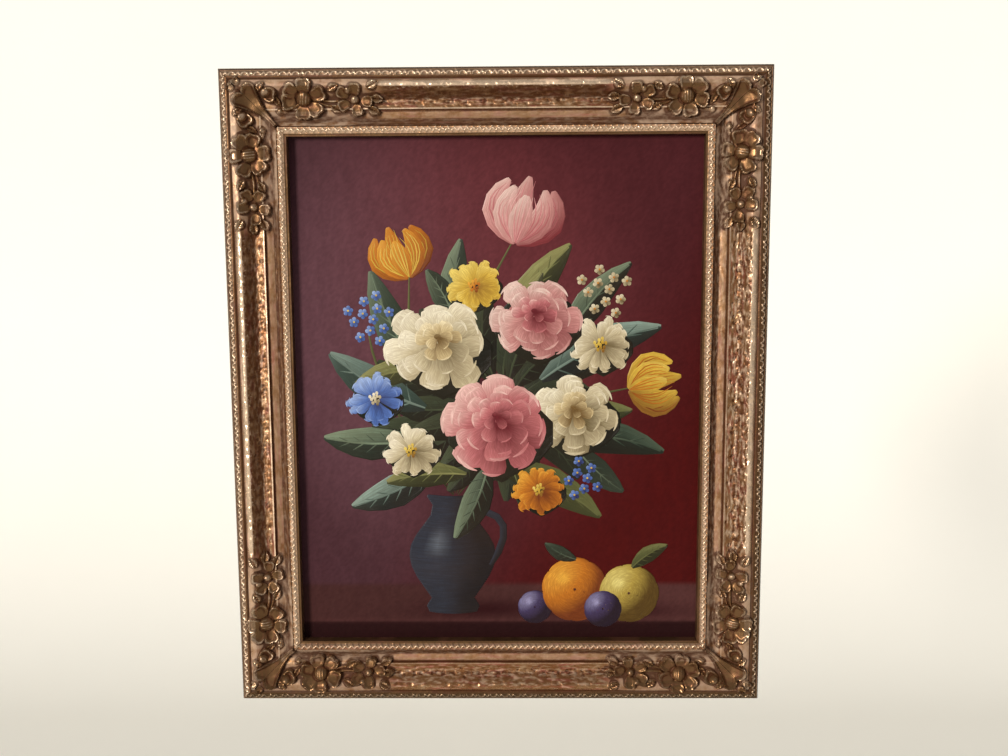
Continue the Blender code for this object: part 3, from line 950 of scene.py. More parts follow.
def gilding():
    finish = Finish("worn_gilding_and_painted_light", Specular_IOR_Level=0.15)
    hollow, ornament, panel, lines, bare, across, along, run, rub_and_light, hammered = (
        finish.attribute(name) for name in MASKS
    )
    clouds = finish.noise(CLOUD_SIZE, 4.0)
    patches = finish.noise(PATCH_SIZE, 4.0, rough=0.62)
    grain = finish.noise(GRAIN_SIZE, 3.0, rough=0.6)
    streaks, flakes, fibres = (
        finish.drawn_out(run * lengthwise, across * crosswise, detail)
        for lengthwise, crosswise, detail in (STREAKS, FLAKES, FIBRES)
    )

    high = 1 - hollow.between(0.20, 0.42)
    rims = 1 - hollow.between(0.08, 0.30)
    # Deep picks the crevices round the carving, where brown toning and painted shade lie.
    deep = hollow.between(0.55, 0.70)
    on = {name: strip(across, *limits) for name, limits in STRIPS.items()}
    lip = across.between(60.8, 61.3)
    side = 1 - across.between(0.8, EDGE_END)
    near_corner = 1 - along.between(SPRAY_END - 12, SPRAY_END + 4)
    # Pale gold along the crest: rubbing and a painted highlight, strongest on the rails that face the
    # light.
    crest_rub_and_highlight = on["crest_rub_and_highlight"] * (rub_and_light * 2.5).clamped() * (0.25 + panel)

    worn = (patches * 0.4 + streaks * 0.7 + clouds * 0.2).between(0.63, 0.79) * (1 - 0.75 * ornament)
    plain_corner = near_corner * (1 - ornament)
    washed = on["field"] * (plain_corner + on["cove"] * 0.5) * (patches + 0.30).between(0.55, 0.95)

    # Brown toning, and painted shade: in the crevices, on the panel's slope, and as the crest's shadow
    # on the floor, most on the top and left rails.
    toned_and_shaded = deep + on["slope"] * panel * (0.45 + 0.5 * rub_and_light) + (patches - 0.60) * 0.8
    toned_and_shaded = toned_and_shaded + (0.50 - flakes) * on["field"] * panel * (1.8 - 0.9 * on["slope"])
    toned_and_shaded = toned_and_shaded + near_corner * on["field"] * 0.08 + lip * 0.35 + (1 - rub_and_light) * 0.08
    toned_and_shaded = toned_and_shaded + on["fillet"] * 0.95
    toned_and_shaded = toned_and_shaded + on["outer_band"] * (1 - lines) * 0.7 + on["inner_band"] * (1 - lines) * 0.25
    toned_and_shaded = toned_and_shaded + on["floor"] * panel * rub_and_light * (1.25 - hammered) * 0.75
    toned_and_shaded = (toned_and_shaded * (0.7 + 0.6 * grain)).clamped()

    carved_rims = rims * (patches * 1.5 + grain * 1.3 - 0.95)
    # Pale gold on the rubbed edges, together with the painted highlights on the crest and the arris.
    rubbed_and_highlit = finish.shift(ornament, high * (0.10 + 0.9 * grain), carved_rims)
    rubbed_and_highlit = rubbed_and_highlit + lines * (0.12 + 0.5 * grain)
    rubbed_and_highlit = rubbed_and_highlit + on["inner_band"] * 0.75 + on["outer_band"] * 0.30 * rub_and_light
    # The arris's bright line is rubbing and a painted highlight.
    rubbed_and_highlit = rubbed_and_highlit + on["arris"] * (0.3 + 0.8 * grain) * (1 - ornament)
    rubbed_and_highlit = (rubbed_and_highlit * (0.45 + 0.65 * rub_and_light) + crest_rub_and_highlight * (0.75 + grain) - 0.28 * clouds).clamped()
    speckled = panel * (1 - 0.80 * on["slope"] * rub_and_light) + 0.35 * on["cove"]
    speckled = speckled * flakes.between(0.44, 0.70) * (0.65 + 0.5 * grain)

    colour = finish.blend(clouds.between(0.35, 0.7), LEAF_GOLD, DEEP_GOLD)
    colour = finish.blend(ornament * 0.9, colour, BRONZE)
    colour = finish.blend(worn * 0.8, colour, RED_CLAY)
    colour = finish.blend(washed * 0.9, colour, BEIGE_WASH)
    colour = finish.blend(toned_and_shaded * 0.9, colour, BROWN_TONING_AND_SHADE)
    # Dark olive on the outer side, the lip and the fillet line; on the outer band it is also painted
    # shade, darker on the rails that face away from the light.
    edge = side + on["outer_band"] * (0.95 - 0.6 * rub_and_light) + lip * 0.75 + on["fillet_line"] * 0.5
    colour = finish.blend(edge.clamped() * 0.85, colour, OLIVE_EDGE)
    colour = finish.blend((rubbed_and_highlit + speckled * (hammered * 0.75)).clamped() * 0.8, colour, PALE_GOLD)
    wood = finish.blend(fibres.between(0.35, 0.65), BACK_WOOD, BACK_WOOD_DARK)

    leafed = (1 - worn * 0.7) * (1 - washed * 0.8) * (1 - toned_and_shaded * 0.5) * (1 - bare)
    rough = 0.30 + 0.14 * patches + 0.20 * washed + 0.08 * toned_and_shaded - 0.10 * on["polished"]
    finish.set(
        Base_Color=finish.blend(bare, colour, wood),
        Metallic=leafed * 0.8,
        Roughness=rough + 0.35 * bare,
        Normal=finish.bump(grain * 0.5 + patches, 0.25),
    )
    return finish.material


# %% [markdown]
# Each rail is given by its side, its length, its place, its turn in degrees, how much it was rubbed
# and how deep it was punched. The number for rubbing also stands for painted light: the top and the
# left one, which face the light, were rubbed most and are painted lightest, the bottom one is painted
# darkest, and the right one has the roughest panel.

# %% The four rails
SEED = 5


def triangles(made):
    return sum(len(face.vertices) - 2 for face in made.data.polygons)


gilded = gilding()
rails = [
    ("top", FRAME_WIDTH, (0, FRAME_HEIGHT / 2), 0, 1.0, 0.55),
    ("right", FRAME_HEIGHT, (FRAME_WIDTH / 2, 0), 90, 0.35, 1.2),
    ("bottom", FRAME_WIDTH, (0, -FRAME_HEIGHT / 2), 180, 0.0, 0.6),
    ("left", FRAME_HEIGHT, (-FRAME_WIDTH / 2, 0), -90, 0.9, 0.65),
]
for number, (side, length, (x, z), turn, rub_and_light, punched_share) in enumerate(rails):
    name = f"carved_rail_{side}"
    place = (x, MIDDLE_Z + z)
    rng = np.random.default_rng(SEED + number)
    mesh = rail_mesh(name, length, place, math.radians(turn), rub_and_light, punched_share, rng)
    rail = stand(name, mesh, gilded)
    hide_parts(f"rail_{side}")
    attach(rail, "root")
    print(f"{rail.name}: {triangles(rail)} triangles")


# %% [markdown]
# ## The canvas
#
# The canvas is linen over a stretcher, turned over its edges. It is one closed skin, 0.8 mm thick and
# open at the back. Its face has a fine grid of points, because the broad areas of the picture are
# painted on them: the wine-red ground, greyer to the left where the varnish's sheen is painted in,
# the ledge and the shadows on it. They are soft in the real picture as well, where the painter
# rubbed them in first.

# %% Colours of the ground
PLUM_AND_SHEEN = (0.114, 0.048, 0.059)
WINE = (0.122, 0.027, 0.031)
DEEP_RED = (0.122, 0.0085, 0.0060)
SHADE = (0.022, 0.004, 0.005)
LEDGE_TOP = (0.070, 0.025, 0.023)
LEDGE_DARK = (0.020, 0.006, 0.006)
LINEN = (0.42, 0.33, 0.22)
LEDGE_BACK = -192.0
LEDGE_FRONT = -230.0
LEDGE_SHADOWS = [(-14.0, -218.0, 60.0), (118.0, -220.0, 66.0)]
SHADOW_HEIGHT = 9.0


def mixed(share, first, second):
    """Two colours mixed at every point."""
    return first + (second - first) * np.clip(share, 0, 1)[..., None]


def ground_colour(x, z, rng):
    """The rubbed-in ground at points given from the middle of the picture."""
    plum_and_sheen, wine, deep, shade, ledge, front = (
        np.array(c) for c in (PLUM_AND_SHEEN, WINE, DEEP_RED, SHADE, LEDGE_TOP, LEDGE_DARK)
    )
    # Greyer plum at the left: the varnish's sheen, painted into the ground.
    to_the_right = soft_step(-190, 90, x + 0.25 * z)
    lower_right = soft_step(-40, 210, x - 0.8 * z - 40)
    far_corners = 0.55 * soft_step(120, 260, np.hypot(x * 1.1 + 60, z - 60))
    behind_flowers = 0.6 * soft_step(110, 20, np.hypot(x + 30, (z + 40) * 0.7))
    colour = mixed(to_the_right, plum_and_sheen, wine)
    colour = mixed(lower_right, colour, deep)
    colour = mixed(far_corners, colour, shade)
    colour = mixed(behind_flowers, colour, shade)

    top = mixed(soft_step(-60, 150, x), 0.8 * ledge, 1.15 * ledge)
    for shadow_x, shadow_z, reach in LEDGE_SHADOWS:
        top = mixed(0.85 * hump(x, shadow_x, reach) * hump(z, shadow_z, SHADOW_HEIGHT), top, shade)
    colour = mixed(soft_step(LEDGE_BACK + 3, LEDGE_BACK - 3, z), colour, top)
    colour = mixed(soft_step(LEDGE_FRONT + 1.5, LEDGE_FRONT - 1.5, z), colour, front)
    colour = mixed(0.5 * hump(z, LEDGE_FRONT, 1.8), colour, 1.3 * ledge)
    return colour * rng.uniform(0.90, 1.10, x.shape)[..., None]


# %% The canvas as a closed skin
POINT_PITCH = 2.4


def ring(index):
    """The outer points of a grid of indices, in order round it."""
    return np.concatenate([index[0, :-1], index[:-1, -1], index[-1, :0:-1], index[:0:-1, 0]])


def canvas_mesh(rng):
    columns = int(CANVAS_WIDTH / POINT_PITCH) + 1
    rows = int(CANVAS_HEIGHT / POINT_PITCH) + 1
    x, z = np.meshgrid(
        np.linspace(-CANVAS_WIDTH / 2, CANVAS_WIDTH / 2, columns),
        np.linspace(-CANVAS_HEIGHT / 2, CANVAS_HEIGHT / 2, rows),
    )
    face = np.stack([x, np.full_like(x, -CANVAS_FRONT), z + MIDDLE_Z], axis=-1).reshape(-1, 3)
    colours = [ground_colour(x, z, rng).reshape(-1, 3)]
    index = np.arange(rows * columns).reshape(rows, columns)
    rim = face[ring(index)]
    shrink = 1 - 2 * CANVAS_THICKNESS / np.array([CANVAS_WIDTH, 1, CANVAS_HEIGHT])
    middle = np.array([0, 0, MIDDLE_Z])
    inner = (rim - middle) * [shrink[0], 1, shrink[2]] + middle
    turned = [
        (rim, -(CANVAS_FRONT + CANVAS_BACK) / 2),
        (rim, -CANVAS_BACK),
        (inner, -CANVAS_BACK),
        (inner, -CANVAS_FRONT + CANVAS_THICKNESS),
    ]
    loops = [face]
    for source, depth in turned:
        loop = source.copy()
        loop[:, 1] = depth
        loops.append(loop)
        colours.append(np.tile(LINEN, (len(loop), 1)))
    points = np.vstack(loops) * MM
    faces = np.stack([index[:-1, :-1], index[:-1, 1:], index[1:, 1:], index[1:, :-1]], axis=-1)
    faces = [tuple(face) for face in faces.reshape(-1, 4).tolist()]
    count = len(rim)
    before = ring(index)
    for number in range(len(turned)):
        after = rows * columns + number * count + np.arange(count)
        sides = np.stack([before, np.roll(before, -1), np.roll(after, -1), after], axis=-1)
        faces += [tuple(side) for side in sides.tolist()]
        before = after
    faces.append(tuple(before.tolist()))
    painted = np.zeros(len(points))
    painted[:rows * columns] = 1.0
    mesh = closed_mesh("canvas_skin", points, faces, {"painted": painted})
    add_colours(mesh, np.vstack(colours))
    return mesh


def add_colours(mesh, colours):
    layer = mesh.attributes.new("paint", "FLOAT_COLOR", "POINT")
    with_alpha = np.hstack([colours, np.ones((len(colours), 1))])
    layer.data.foreach_set("color", with_alpha.astype(np.float32).ravel())


# %% [markdown]
# Linen shows through thin paint as a fine weave, and the varnish over it gives a soft sheen. The
# weave is the product of two sets of waves, one for the warp and one for the weft.

# %% Painted linen
WEAVE_PITCH = 1.15
LINEN_SHADE = tuple(0.6 * c for c in LINEN)


def painted_linen():
    finish = Finish("painted_linen", Specular_IOR_Level=0.04)
    x = finish.node("ShaderNodeSeparateXYZ", None, {0: finish.place()})
    z = Wire(finish, x.socket.node.outputs[2])
    turn = 2 * math.pi / WEAVE_PITCH
    slub = finish.noise(7.0, 2.0)
    weave = ((x * turn + slub * 1.5).sine() * (z * turn + slub * 1.5).sine()) * 0.5 + 0.5
    painted = finish.attribute("painted")
    paint = finish.attribute("paint", output=0)
    streaks = finish.noise(9.0, 4.0, (1.0, 1.0, 0.35))
    mottled = finish.blend((streaks - 0.35).clamped() * 0.5, paint, SHADE)
    raw = finish.blend(weave, LINEN, LINEN_SHADE)
    finish.set(
        Base_Color=finish.blend(painted, raw, mottled),
        Roughness=finish.shift(painted, 0.85, 0.30) + 0.1 * (streaks - 0.5),
        Normal=finish.bump(weave * 0.5 + streaks * 0.4, 0.10),
    )
    return finish.material


skin = stand("canvas_skin", canvas_mesh(np.random.default_rng(SEED + 10)), painted_linen())
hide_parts("canvas")
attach(skin, "root")
print(f"{skin.name}: {triangles(skin)} triangles")


# %% [markdown]
# ## Paint laid with the brush
#
# The jug, the flowers and the fruit are thick paint. Each brush stroke is a small closed form of its
# own: a ribbon along a curve, narrower at its ends, flat on top and bevelled all round, with its foot
# sunk in the canvas. Later strokes lie over earlier ones, so each stands a little higher, from 0.1 mm
# for the first to 0.7 mm for the last. All of them are gathered in one mesh, with the colour of the
# stroke at its points and two numbers for the bristle marks.

# %% The shape of a stroke and the tones of a paint
LANES = np.array([-1, -0.88, -0.45, 0, 0.45, 0.88, 1])
STATIONS = np.array([0, 0.03, 0.16, 0.32, 0.5, 0.68, 0.84, 0.97, 1])
PAINT_THICKNESS = 0.10
PAINT_BUILD_UP = 0.60
SUNK = 0.12
BEVEL_ANGLE = 6
LIGHT_FROM = np.array([-0.72, 0.69])
LIGHT_FALL = 0.25
LIGHT_REACH = 150
TONE_WANDER = 0.12
COLOUR_WANDER = 0.06
BRISTLE_LENGTH = 6
BRISTLE_SHIFT = 50


def toned(tones, light):
    """A colour between a light, a middle and a dark tone, for light from 1 down to -1."""
    light_tone, middle_tone, dark_tone = np.array(tones)
    light = np.clip(light, -1, 1)[..., None]
    lit = middle_tone + (light_tone - middle_tone) * light
    shaded = middle_tone + (middle_tone - dark_tone) * light
    return np.where(light > 0, lit, shaded)


# %% A class that gathers strokes
class Painter:
    """Gathers brush strokes. Places are millimetres from the middle of the picture."""

    def __init__(self, rng):
        self.rng = rng
        self.strokes = []

    def stroke(self, points, width, tones, light, taper=(0.35, 0.25), roll=0.3, loose=1.0):
        """A stroke along a quadratic curve of three points, or a straight one of two.

        light is its tone at the start and at the end, or a function of the place. roll is how much
        the side towards the light is lighter than the other, and loose how much the tone wanders."""
        points = [np.array(point, float) for point in points]
        if len(points) == 2:
            points.insert(1, (points[0] + points[1]) / 2)
        mark = self.rng.uniform(-1, 1)
        self.strokes.append((points, width, tones, light, taper, roll, loose * mark, mark))

    def ribbon(self, points, width, taper):
        """The places of a stroke's points, and which way is across at each station."""
        a = STATIONS[:, None]
        line = (1 - a) ** 2 * points[0] + 2 * a * (1 - a) * points[1] + a * a * points[2]
        run = np.gradient(line, axis=0)
        run /= np.maximum(np.linalg.norm(run, axis=1, keepdims=True), 1e-6)
        across = np.stack([-run[:, 1], run[:, 0]], axis=1)
        ends = np.clip(STATIONS / taper[0], 0, 1) * np.clip((1 - STATIONS) / taper[1], 0, 1)
        half = width / 2 * np.maximum(ends**0.5, 0.12)
        return line[:, None] + across[:, None] * (half[:, None] * LANES)[..., None], across

    def mesh(self, name):
        grid = np.arange(len(STATIONS) * len(LANES)).reshape(len(STATIONS), -1)
        quads = np.stack([grid[:-1, :-1], grid[1:, :-1], grid[1:, 1:], grid[:-1, 1:]], axis=-1)
        quads = quads.reshape(-1, 4)
        rim = ring(grid)
        level = np.ones(grid.shape)
        level.ravel()[rim] = 0
        stations = np.broadcast_to(STATIONS[:, None], grid.shape)
        lanes = np.broadcast_to(LANES, grid.shape)
        blocks, colours, faces, bristles, lengths = [], [], [], [], []
        for number, (points, width, tones, light, taper, roll, wander, mark) in enumerate(self.strokes):
            flat, across = self.ribbon(points, width, taper)
            rise = PAINT_THICKNESS + PAINT_BUILD_UP * number / len(self.strokes)
            height = level * (rise + SUNK) - SUNK
            block = np.stack([flat[..., 0], -CANVAS_FRONT - height, flat[..., 1] + MIDDLE_Z], axis=-1)
            if callable(light):
                shade = light(flat[..., 0], flat[..., 1])
            else:
                shade = light[0] + (light[1] - light[0]) * stations
            shade = shade + roll * (across @ LIGHT_FROM)[:, None] * LANES + TONE_WANDER * wander
            shade = shade + LIGHT_FALL * (flat @ LIGHT_FROM) / LIGHT_REACH
            blocks.append(block.reshape(-1, 3))
            colours.append(toned(tones, shade).reshape(-1, 3) * (1 + COLOUR_WANDER * wander))
            bristles.append(lanes.ravel() * width / 2 + BRISTLE_SHIFT * mark)
            lengths.append(stations.ravel() * BRISTLE_LENGTH + BRISTLE_SHIFT * mark)
            base = number * grid.size
            faces += [tuple(quad) for quad in (quads + base).tolist()]
            faces.append(tuple((rim + base).tolist()))
        marks = {"bristle": np.concatenate(bristles), "lengthwise": np.concatenate(lengths)}
        made = closed_mesh(name, np.vstack(blocks) * MM, faces, marks, BEVEL_ANGLE)
        add_colours(made, np.vstack(colours))
        return made


# %% [markdown]
# The picture is a generic still life: a tall dark blue jug at the left with pink, cream, yellow,
# blue and orange flowers that lean over to the right, and fruit beside it on the ledge. The light in
# it falls from the upper left, so every form is lighter there.

# %% Palette
CREAM = [(0.94, 0.87, 0.66), (0.62, 0.53, 0.33), (0.15, 0.11, 0.045)]
CREAM_HEART = [(0.95, 0.84, 0.56), (0.66, 0.52, 0.27), (0.17, 0.10, 0.030)]
PINK = [(0.90, 0.58, 0.52), (0.56, 0.17, 0.18), (0.14, 0.010, 0.020)]
ROSE = [(0.84, 0.62, 0.54), (0.60, 0.27, 0.25), (0.22, 0.030, 0.040)]
YELLOW = [(0.88, 0.68, 0.16), (0.66, 0.42, 0.05), (0.25, 0.11, 0.015)]
ORANGE = [(0.84, 0.42, 0.05), (0.56, 0.18, 0.014), (0.17, 0.035, 0.006)]
BLUE = [(0.36, 0.50, 0.82), (0.08, 0.17, 0.48), (0.015, 0.028, 0.12)]
GREEN = [(0.21, 0.28, 0.18), (0.021, 0.044, 0.030), (0.004, 0.009, 0.007)]
TEAL = [(0.26, 0.36, 0.30), (0.032, 0.066, 0.054), (0.005, 0.012, 0.012)]
DARK_GREEN = [(0.050, 0.070, 0.035), (0.012, 0.022, 0.014), (0.003, 0.006, 0.004)]
OLIVE = [(0.27, 0.27, 0.10), (0.088, 0.104, 0.034), (0.018, 0.024, 0.009)]
JUG = [(0.34, 0.40, 0.46), (0.022, 0.032, 0.052), (0.004, 0.006, 0.010)]
PLUM_FRUIT = [(0.32, 0.30, 0.50), (0.052, 0.038, 0.11), (0.009, 0.005, 0.018)]
PEAR = [(0.80, 0.68, 0.22), (0.44, 0.32, 0.06), (0.09, 0.05, 0.008)]


SCATTER_TURN = 2.4


def towards(angle, length=1.0):
    return np.array([math.cos(angle), math.sin(angle)]) * length


def square_to(run):
    """The direction a quarter turn to the left of this one."""
    return np.array([-run[1], run[0]])


def level_line(centre, half, lift=0.0):
    """Both ends of a short level stroke, the right one lifted a little."""
    return [centre - [half, 0], centre + [half, lift]]


# %% Strokes for leaves, stems and round forms
SIDE_VEINS = (0.16, 0.3, 0.44, 0.58, 0.72)
BALL_RINGS = ((0.86, 9), (0.64, 8), (0.42, 7), (0.18, 5))


def paint_leaf(painter, base, tip, width, tones, bow=0.12):
    """Two halves, one of them in the light, a middle vein and a few side veins."""
    base, tip = np.array(base, float), np.array(tip, float)
    length = np.linalg.norm(tip - base)
    run = (tip - base) / length
    side = square_to(run)
    middle = (base + tip) / 2 + side * length * bow
    ways = sorted((-1, 1), key=lambda way: float(side @ LIGHT_FROM) * way)
    for way in ways:
        lit = 0.8 * float(side @ LIGHT_FROM) * way
        bulge = middle + side * way * width * 0.42
        painter.stroke([base, bulge, tip], width * 0.56, tones, (lit - 0.6, lit + 0.15), (0.5, 0.55))
    for share in SIDE_VEINS:
        start = (1 - share) ** 2 * base + 2 * share * (1 - share) * middle + share**2 * tip
        for way in (-1, 1):
            end = start + run * length * 0.12 + side * way * width * 0.42 * (1.05 - share)
            painter.stroke([start, end], width * 0.045, tones, (0.42, 0.05), (0.2, 0.8))
    painter.stroke([base, middle, tip], width * 0.07, tones, (0.75, 0.3), (0.1, 0.7))


def paint_stem(painter, start, end, bow, width=2.6):
    start, end = np.array(start, float), np.array(end, float)
    middle = (start + end) / 2 + np.array(bow, float)
    painter.stroke([start, middle, end], width, OLIVE, (-0.8, 0.1), (0.1, 0.1), roll=0.6)


def paint_ball(painter, centre, radius, tones):
    """A fruit in rings of short arcs, shaded as a ball, with light thrown back from the ledge."""
    centre = np.array(centre, float)

    def light(x, z):
        u, v = (x - centre[0]) / radius, (z - centre[1]) / radius
        out = np.sqrt(np.clip(1 - u * u - v * v, 0, 1))
        lit = (np.stack([u, v], axis=-1) @ LIGHT_FROM) * 0.75 + out * 0.62
        gleam = np.exp(-((u + 0.36) ** 2 + (v - 0.36) ** 2) / 0.022)
        thrown_back = 0.35 * np.clip(-v - 0.5, 0, 1)
        return 1.9 * lit - 0.95 + gleam + thrown_back

    for ring_share, arcs in BALL_RINGS:
        reach = math.pi / arcs * 1.35
        for i in range(arcs):
            angle = 2 * math.pi * i / arcs + ring_share * 9
            ends = [centre + towards(angle + way * reach, radius * ring_share) for way in (-1, 1)]
            middle = centre + towards(angle, radius * ring_share * (2 - math.cos(reach)))
            arc = [ends[0], middle, ends[1]]
            painter.stroke(arc, radius * 0.30, tones, light, (0.2, 0.2), roll=0, loose=0.25)


# %% Strokes for petals
def paint_petals(painter, centre, ring_size, count, width, tones, light, squash=1.0, start=0.0):
    """A ring of petals, each dark at its foot and light at its rim, painted from the back forward."""
    rng = painter.rng
    centre = np.array(centre, float)
    angles = [start + 2 * math.pi * i / count + rng.uniform(-0.2, 0.2) for i in range(count)]
    for angle in sorted(angles, key=math.sin, reverse=True):
        out = towards(angle) * [1, squash]
        side = square_to(out)
        foot, tip = ring_size[0], ring_size[1] * rng.uniform(0.90, 1.07)
        broad = width * rng.uniform(0.85, 1.15)
        facing = 0.5 * float(towards(angle) @ LIGHT_FROM) + rng.uniform(-0.12, 0.12)
        begin, end = centre + out * foot, centre + out * tip
        bend = side * rng.uniform(-0.14, 0.14) * tip
        tone = (light[0] + 0.5 * facing, light[1] + facing)
        curve = [begin, (begin + end) / 2 + bend, end]
        painter.stroke(curve, broad, tones, tone, (0.75, 0.20), roll=0.4)
        rim = [end - out * broad * 0.12 + side * broad * 0.36, end + out * broad * 0.05]
        rim.append(end - out * broad * 0.12 - side * broad * 0.36)
        painter.stroke(rim, broad * 0.11, tones, (tone[1] + 0.1, tone[1] + 0.5), (0.5, 0.5), roll=0)


# %% Strokes for full blooms
BLOOM_RINGS = [
    (0.30, 1.00, 8, 0.66, (-0.70, 0.40)),
    (0.22, 0.84, 8, 0.54, (-0.75, 0.35)),
    (0.14, 0.66, 7, 0.44, (-0.85, 0.30)),
    (0.06, 0.48, 6, 0.34, (-0.95, 0.20)),
    (0.00, 0.30, 5, 0.24, (-1.00, 0.05)),
]


def paint_shadow(painter, centre, radius):
    """The dark that a flower throws down to the right, on the leaves behind it."""
    middle = centre + [radius * 0.10, -radius * 0.13]
    ends = level_line(middle, radius)
    painter.stroke(ends, radius * 1.9, DARK_GREEN, (-0.5, -1.0), (0.5, 0.5), roll=0)


def paint_full_bloom(painter, centre, radius, tones, heart=None, squash=0.9):
    """A full bloom seen a little from above: five rings of petals closing over a dark heart."""
    centre = np.array(centre, float)
    heart = heart or tones
    paint_shadow(painter, centre, radius)
    painter.stroke(level_line(centre, radius * 0.7), radius * 1.4, tones, (-0.6, -0.9), (0.5, 0.5))
    for number, (foot, tip, count, width, light) in enumerate(BLOOM_RINGS):
        middle = centre + [0, radius * 0.05 * number]
        size = (radius * foot, radius * tip)
        paint = heart if number > 2 else tones
        paint_petals(painter, middle, size, count, radius * width, paint, light, squash, number * 0.7)
    eye = level_line(centre + [0, radius * 0.22], radius * 0.07)
    painter.stroke(eye, radius * 0.12, heart, (-1, -1))


# %% Strokes for daisies
def paint_daisy(painter, centre, radius, count, tones, eye):
    """Narrow petals in two rings round a domed eye."""
    centre = np.array(centre, float)
    paint_shadow(painter, centre, radius * 0.95)
    for number, reach in enumerate((1.0, 0.86)):
        size = (radius * 0.12, radius * reach)
        width = radius * 4.8 / count
        paint_petals(painter, centre, size, count, width, tones, (-0.75, 0.35), 0.92, 0.2 * number)
    for i in range(12):
        spot = centre + towards(i * SCATTER_TURN, radius * 0.22 * math.sqrt(i / 12))
        lit = float((spot - centre) @ LIGHT_FROM) / (radius * 0.2)
        painter.stroke(level_line(spot, 1.5, 0.4), radius * 0.14, eye, (lit, lit))


# %% Strokes for tulips and small flowers
def paint_tulip(painter, base, angle, length, tones, flame):
    """A half-open cup: petals behind and in front that meet at the stem, each with flames up it."""
    base = np.array(base, float)
    out = towards(angle)
    side = square_to(out)
    petals = [(-0.34, 0.94, -0.45), (0.34, 0.94, -0.45), (0.05, 1.06, -0.30)]
    petals += [(-0.22, 0.92, 0.05), (0.22, 0.86, 0.0), (0.02, 0.78, 0.25)]
    for aside, reach, light in petals:
        tip = base + out * length * reach + side * length * aside
        belly = base + out * length * 0.40 + side * length * aside * 2.1
        facing = 0.8 * float(side @ LIGHT_FROM) * aside
        tone = (light + facing - 0.55, light + facing + 0.30)
        painter.stroke([base, belly, tip], length * 0.42, tones, tone, (0.40, 0.50), roll=0.4)
        for drift in (-0.09, -0.03, 0.04, 0.10):
            lean = side * length * drift
            flame_tip = base + (tip - base) * painter.rng.uniform(0.80, 0.98) + lean
            curve = [base, belly + lean * 1.4, flame_tip]
            tone = (light + facing - 0.4, light + facing + 0.2)
            painter.stroke(curve, length * 0.035, flame, tone, (0.5, 0.8))


def paint_small_blooms(painter, centre, spread, count, tones, eye):
    """A loose cluster of small five-petalled flowers."""
    for i in range(count):
        reach = spread * math.sqrt((i + 0.3) / count)
        spot = np.array(centre, float) + towards(i * SCATTER_TURN, reach)
        for petal in range(5):
            out = towards(2 * math.pi * petal / 5 + i)
            lit = 0.5 * float(out @ LIGHT_FROM) + painter.rng.uniform(-0.3, 0.2)
            ends = [spot + out * 0.6, spot + out * 5.2]
            painter.stroke(ends, 4.4, tones, (lit - 0.4, lit + 0.1), (0.6, 0.3))
        painter.stroke(level_line(spot, 1, 0.4), 2.2, eye, (0.2, 0.3))


# %% Strokes for the jug
JUG_X = -46.0
JUG_FOOT = -221.0
JUG_MOUTH = -104.0
JUG_SHARES = [0, 0.04, 0.11, 0.2, 0.3, 0.39, 0.48, 0.57, 0.66, 0.75, 0.83, 0.93, 1]
JUG_HALVES = [25, 27, 21.5, 29, 37, 42, 44, 42.5, 37, 29, 22, 19.5, 25]
JUG_ROWS = 56
JUG_STROKE = 4.6
JUG_SAG = 2.4


def jug_half(z):
    return np.interp((z - JUG_FOOT) / (JUG_MOUTH - JUG_FOOT), JUG_SHARES, JUG_HALVES)


def paint_jug(painter):
    """Level strokes, dark glaze with a window's gleam on the left and a faint one on the right."""
    def light(x, z):
        u = (x - JUG_X) / jug_half(z)
        bulge = hump(z, -162, 34)
        gleam = 1.2 * hump(u, -0.46, 0.09) * hump(z, -148, 16)
        rim = 0.25 * hump(u, 0.84, 0.10) * bulge
        return -0.10 - np.clip(u + 0.25, 0, 1) + 0.12 * bulge + gleam + rim

    for i in range(JUG_ROWS):
        z = JUG_FOOT + (JUG_MOUTH - JUG_FOOT) * i / (JUG_ROWS - 1)
        half = float(jug_half(z))
        level = [(JUG_X - half, z + JUG_SAG), (JUG_X, z - JUG_SAG), (JUG_X + half, z + JUG_SAG)]
        painter.stroke(level, JUG_STROKE, JUG, light, (0.04, 0.04), roll=0, loose=0.15)
    handle = [(JUG_X + 19, -116), (JUG_X + 74, -118), (JUG_X + 36, -176)]
    painter.stroke(handle, 7.5, JUG, (-0.1, -0.6), (0.08, 0.08), roll=0.7)


# %% Where the stems and the leaves go
STEMS = [
    ((-84, 120), (-30, 4)),
    ((18, 152), (-34, 30)),
    ((132, 6), (-14, 44)),
    ((100, 96), (-24, 46)),
    ((-126, 68), (-34, 10)),
]
LEAVES_BEHIND = [
    ((-68, -14), (-164, 42), 40),
    ((-62, 8), (-122, 122), 38),
    ((-36, 40), (-34, 152), 34),
    ((8, 46), (72, 146), 38),
    ((40, 12), (160, 66), 40),
    ((36, -40), (164, -58), 38),
    ((-76, -44), (-172, -42), 36),
    ((-4, -70), (102, -124), 38),
    ((-60, -70), (-146, -112), 36),
    ((60, 40), (130, 128), 32),
]
LEAVES_BETWEEN = [
    ((-66, 26), (-140, 10), 28, OLIVE),
    ((0, 62), (44, 120), 26, OLIVE),
    ((66, -12), (132, -16), 26, OLIVE),
    ((-40, 70), (-68, 122), 26, GREEN),
    ((74, -50), (124, -98), 28, GREEN),
    ((-30, -80), (-112, -88), 28, OLIVE),
]
DARK_LEAVES = 26


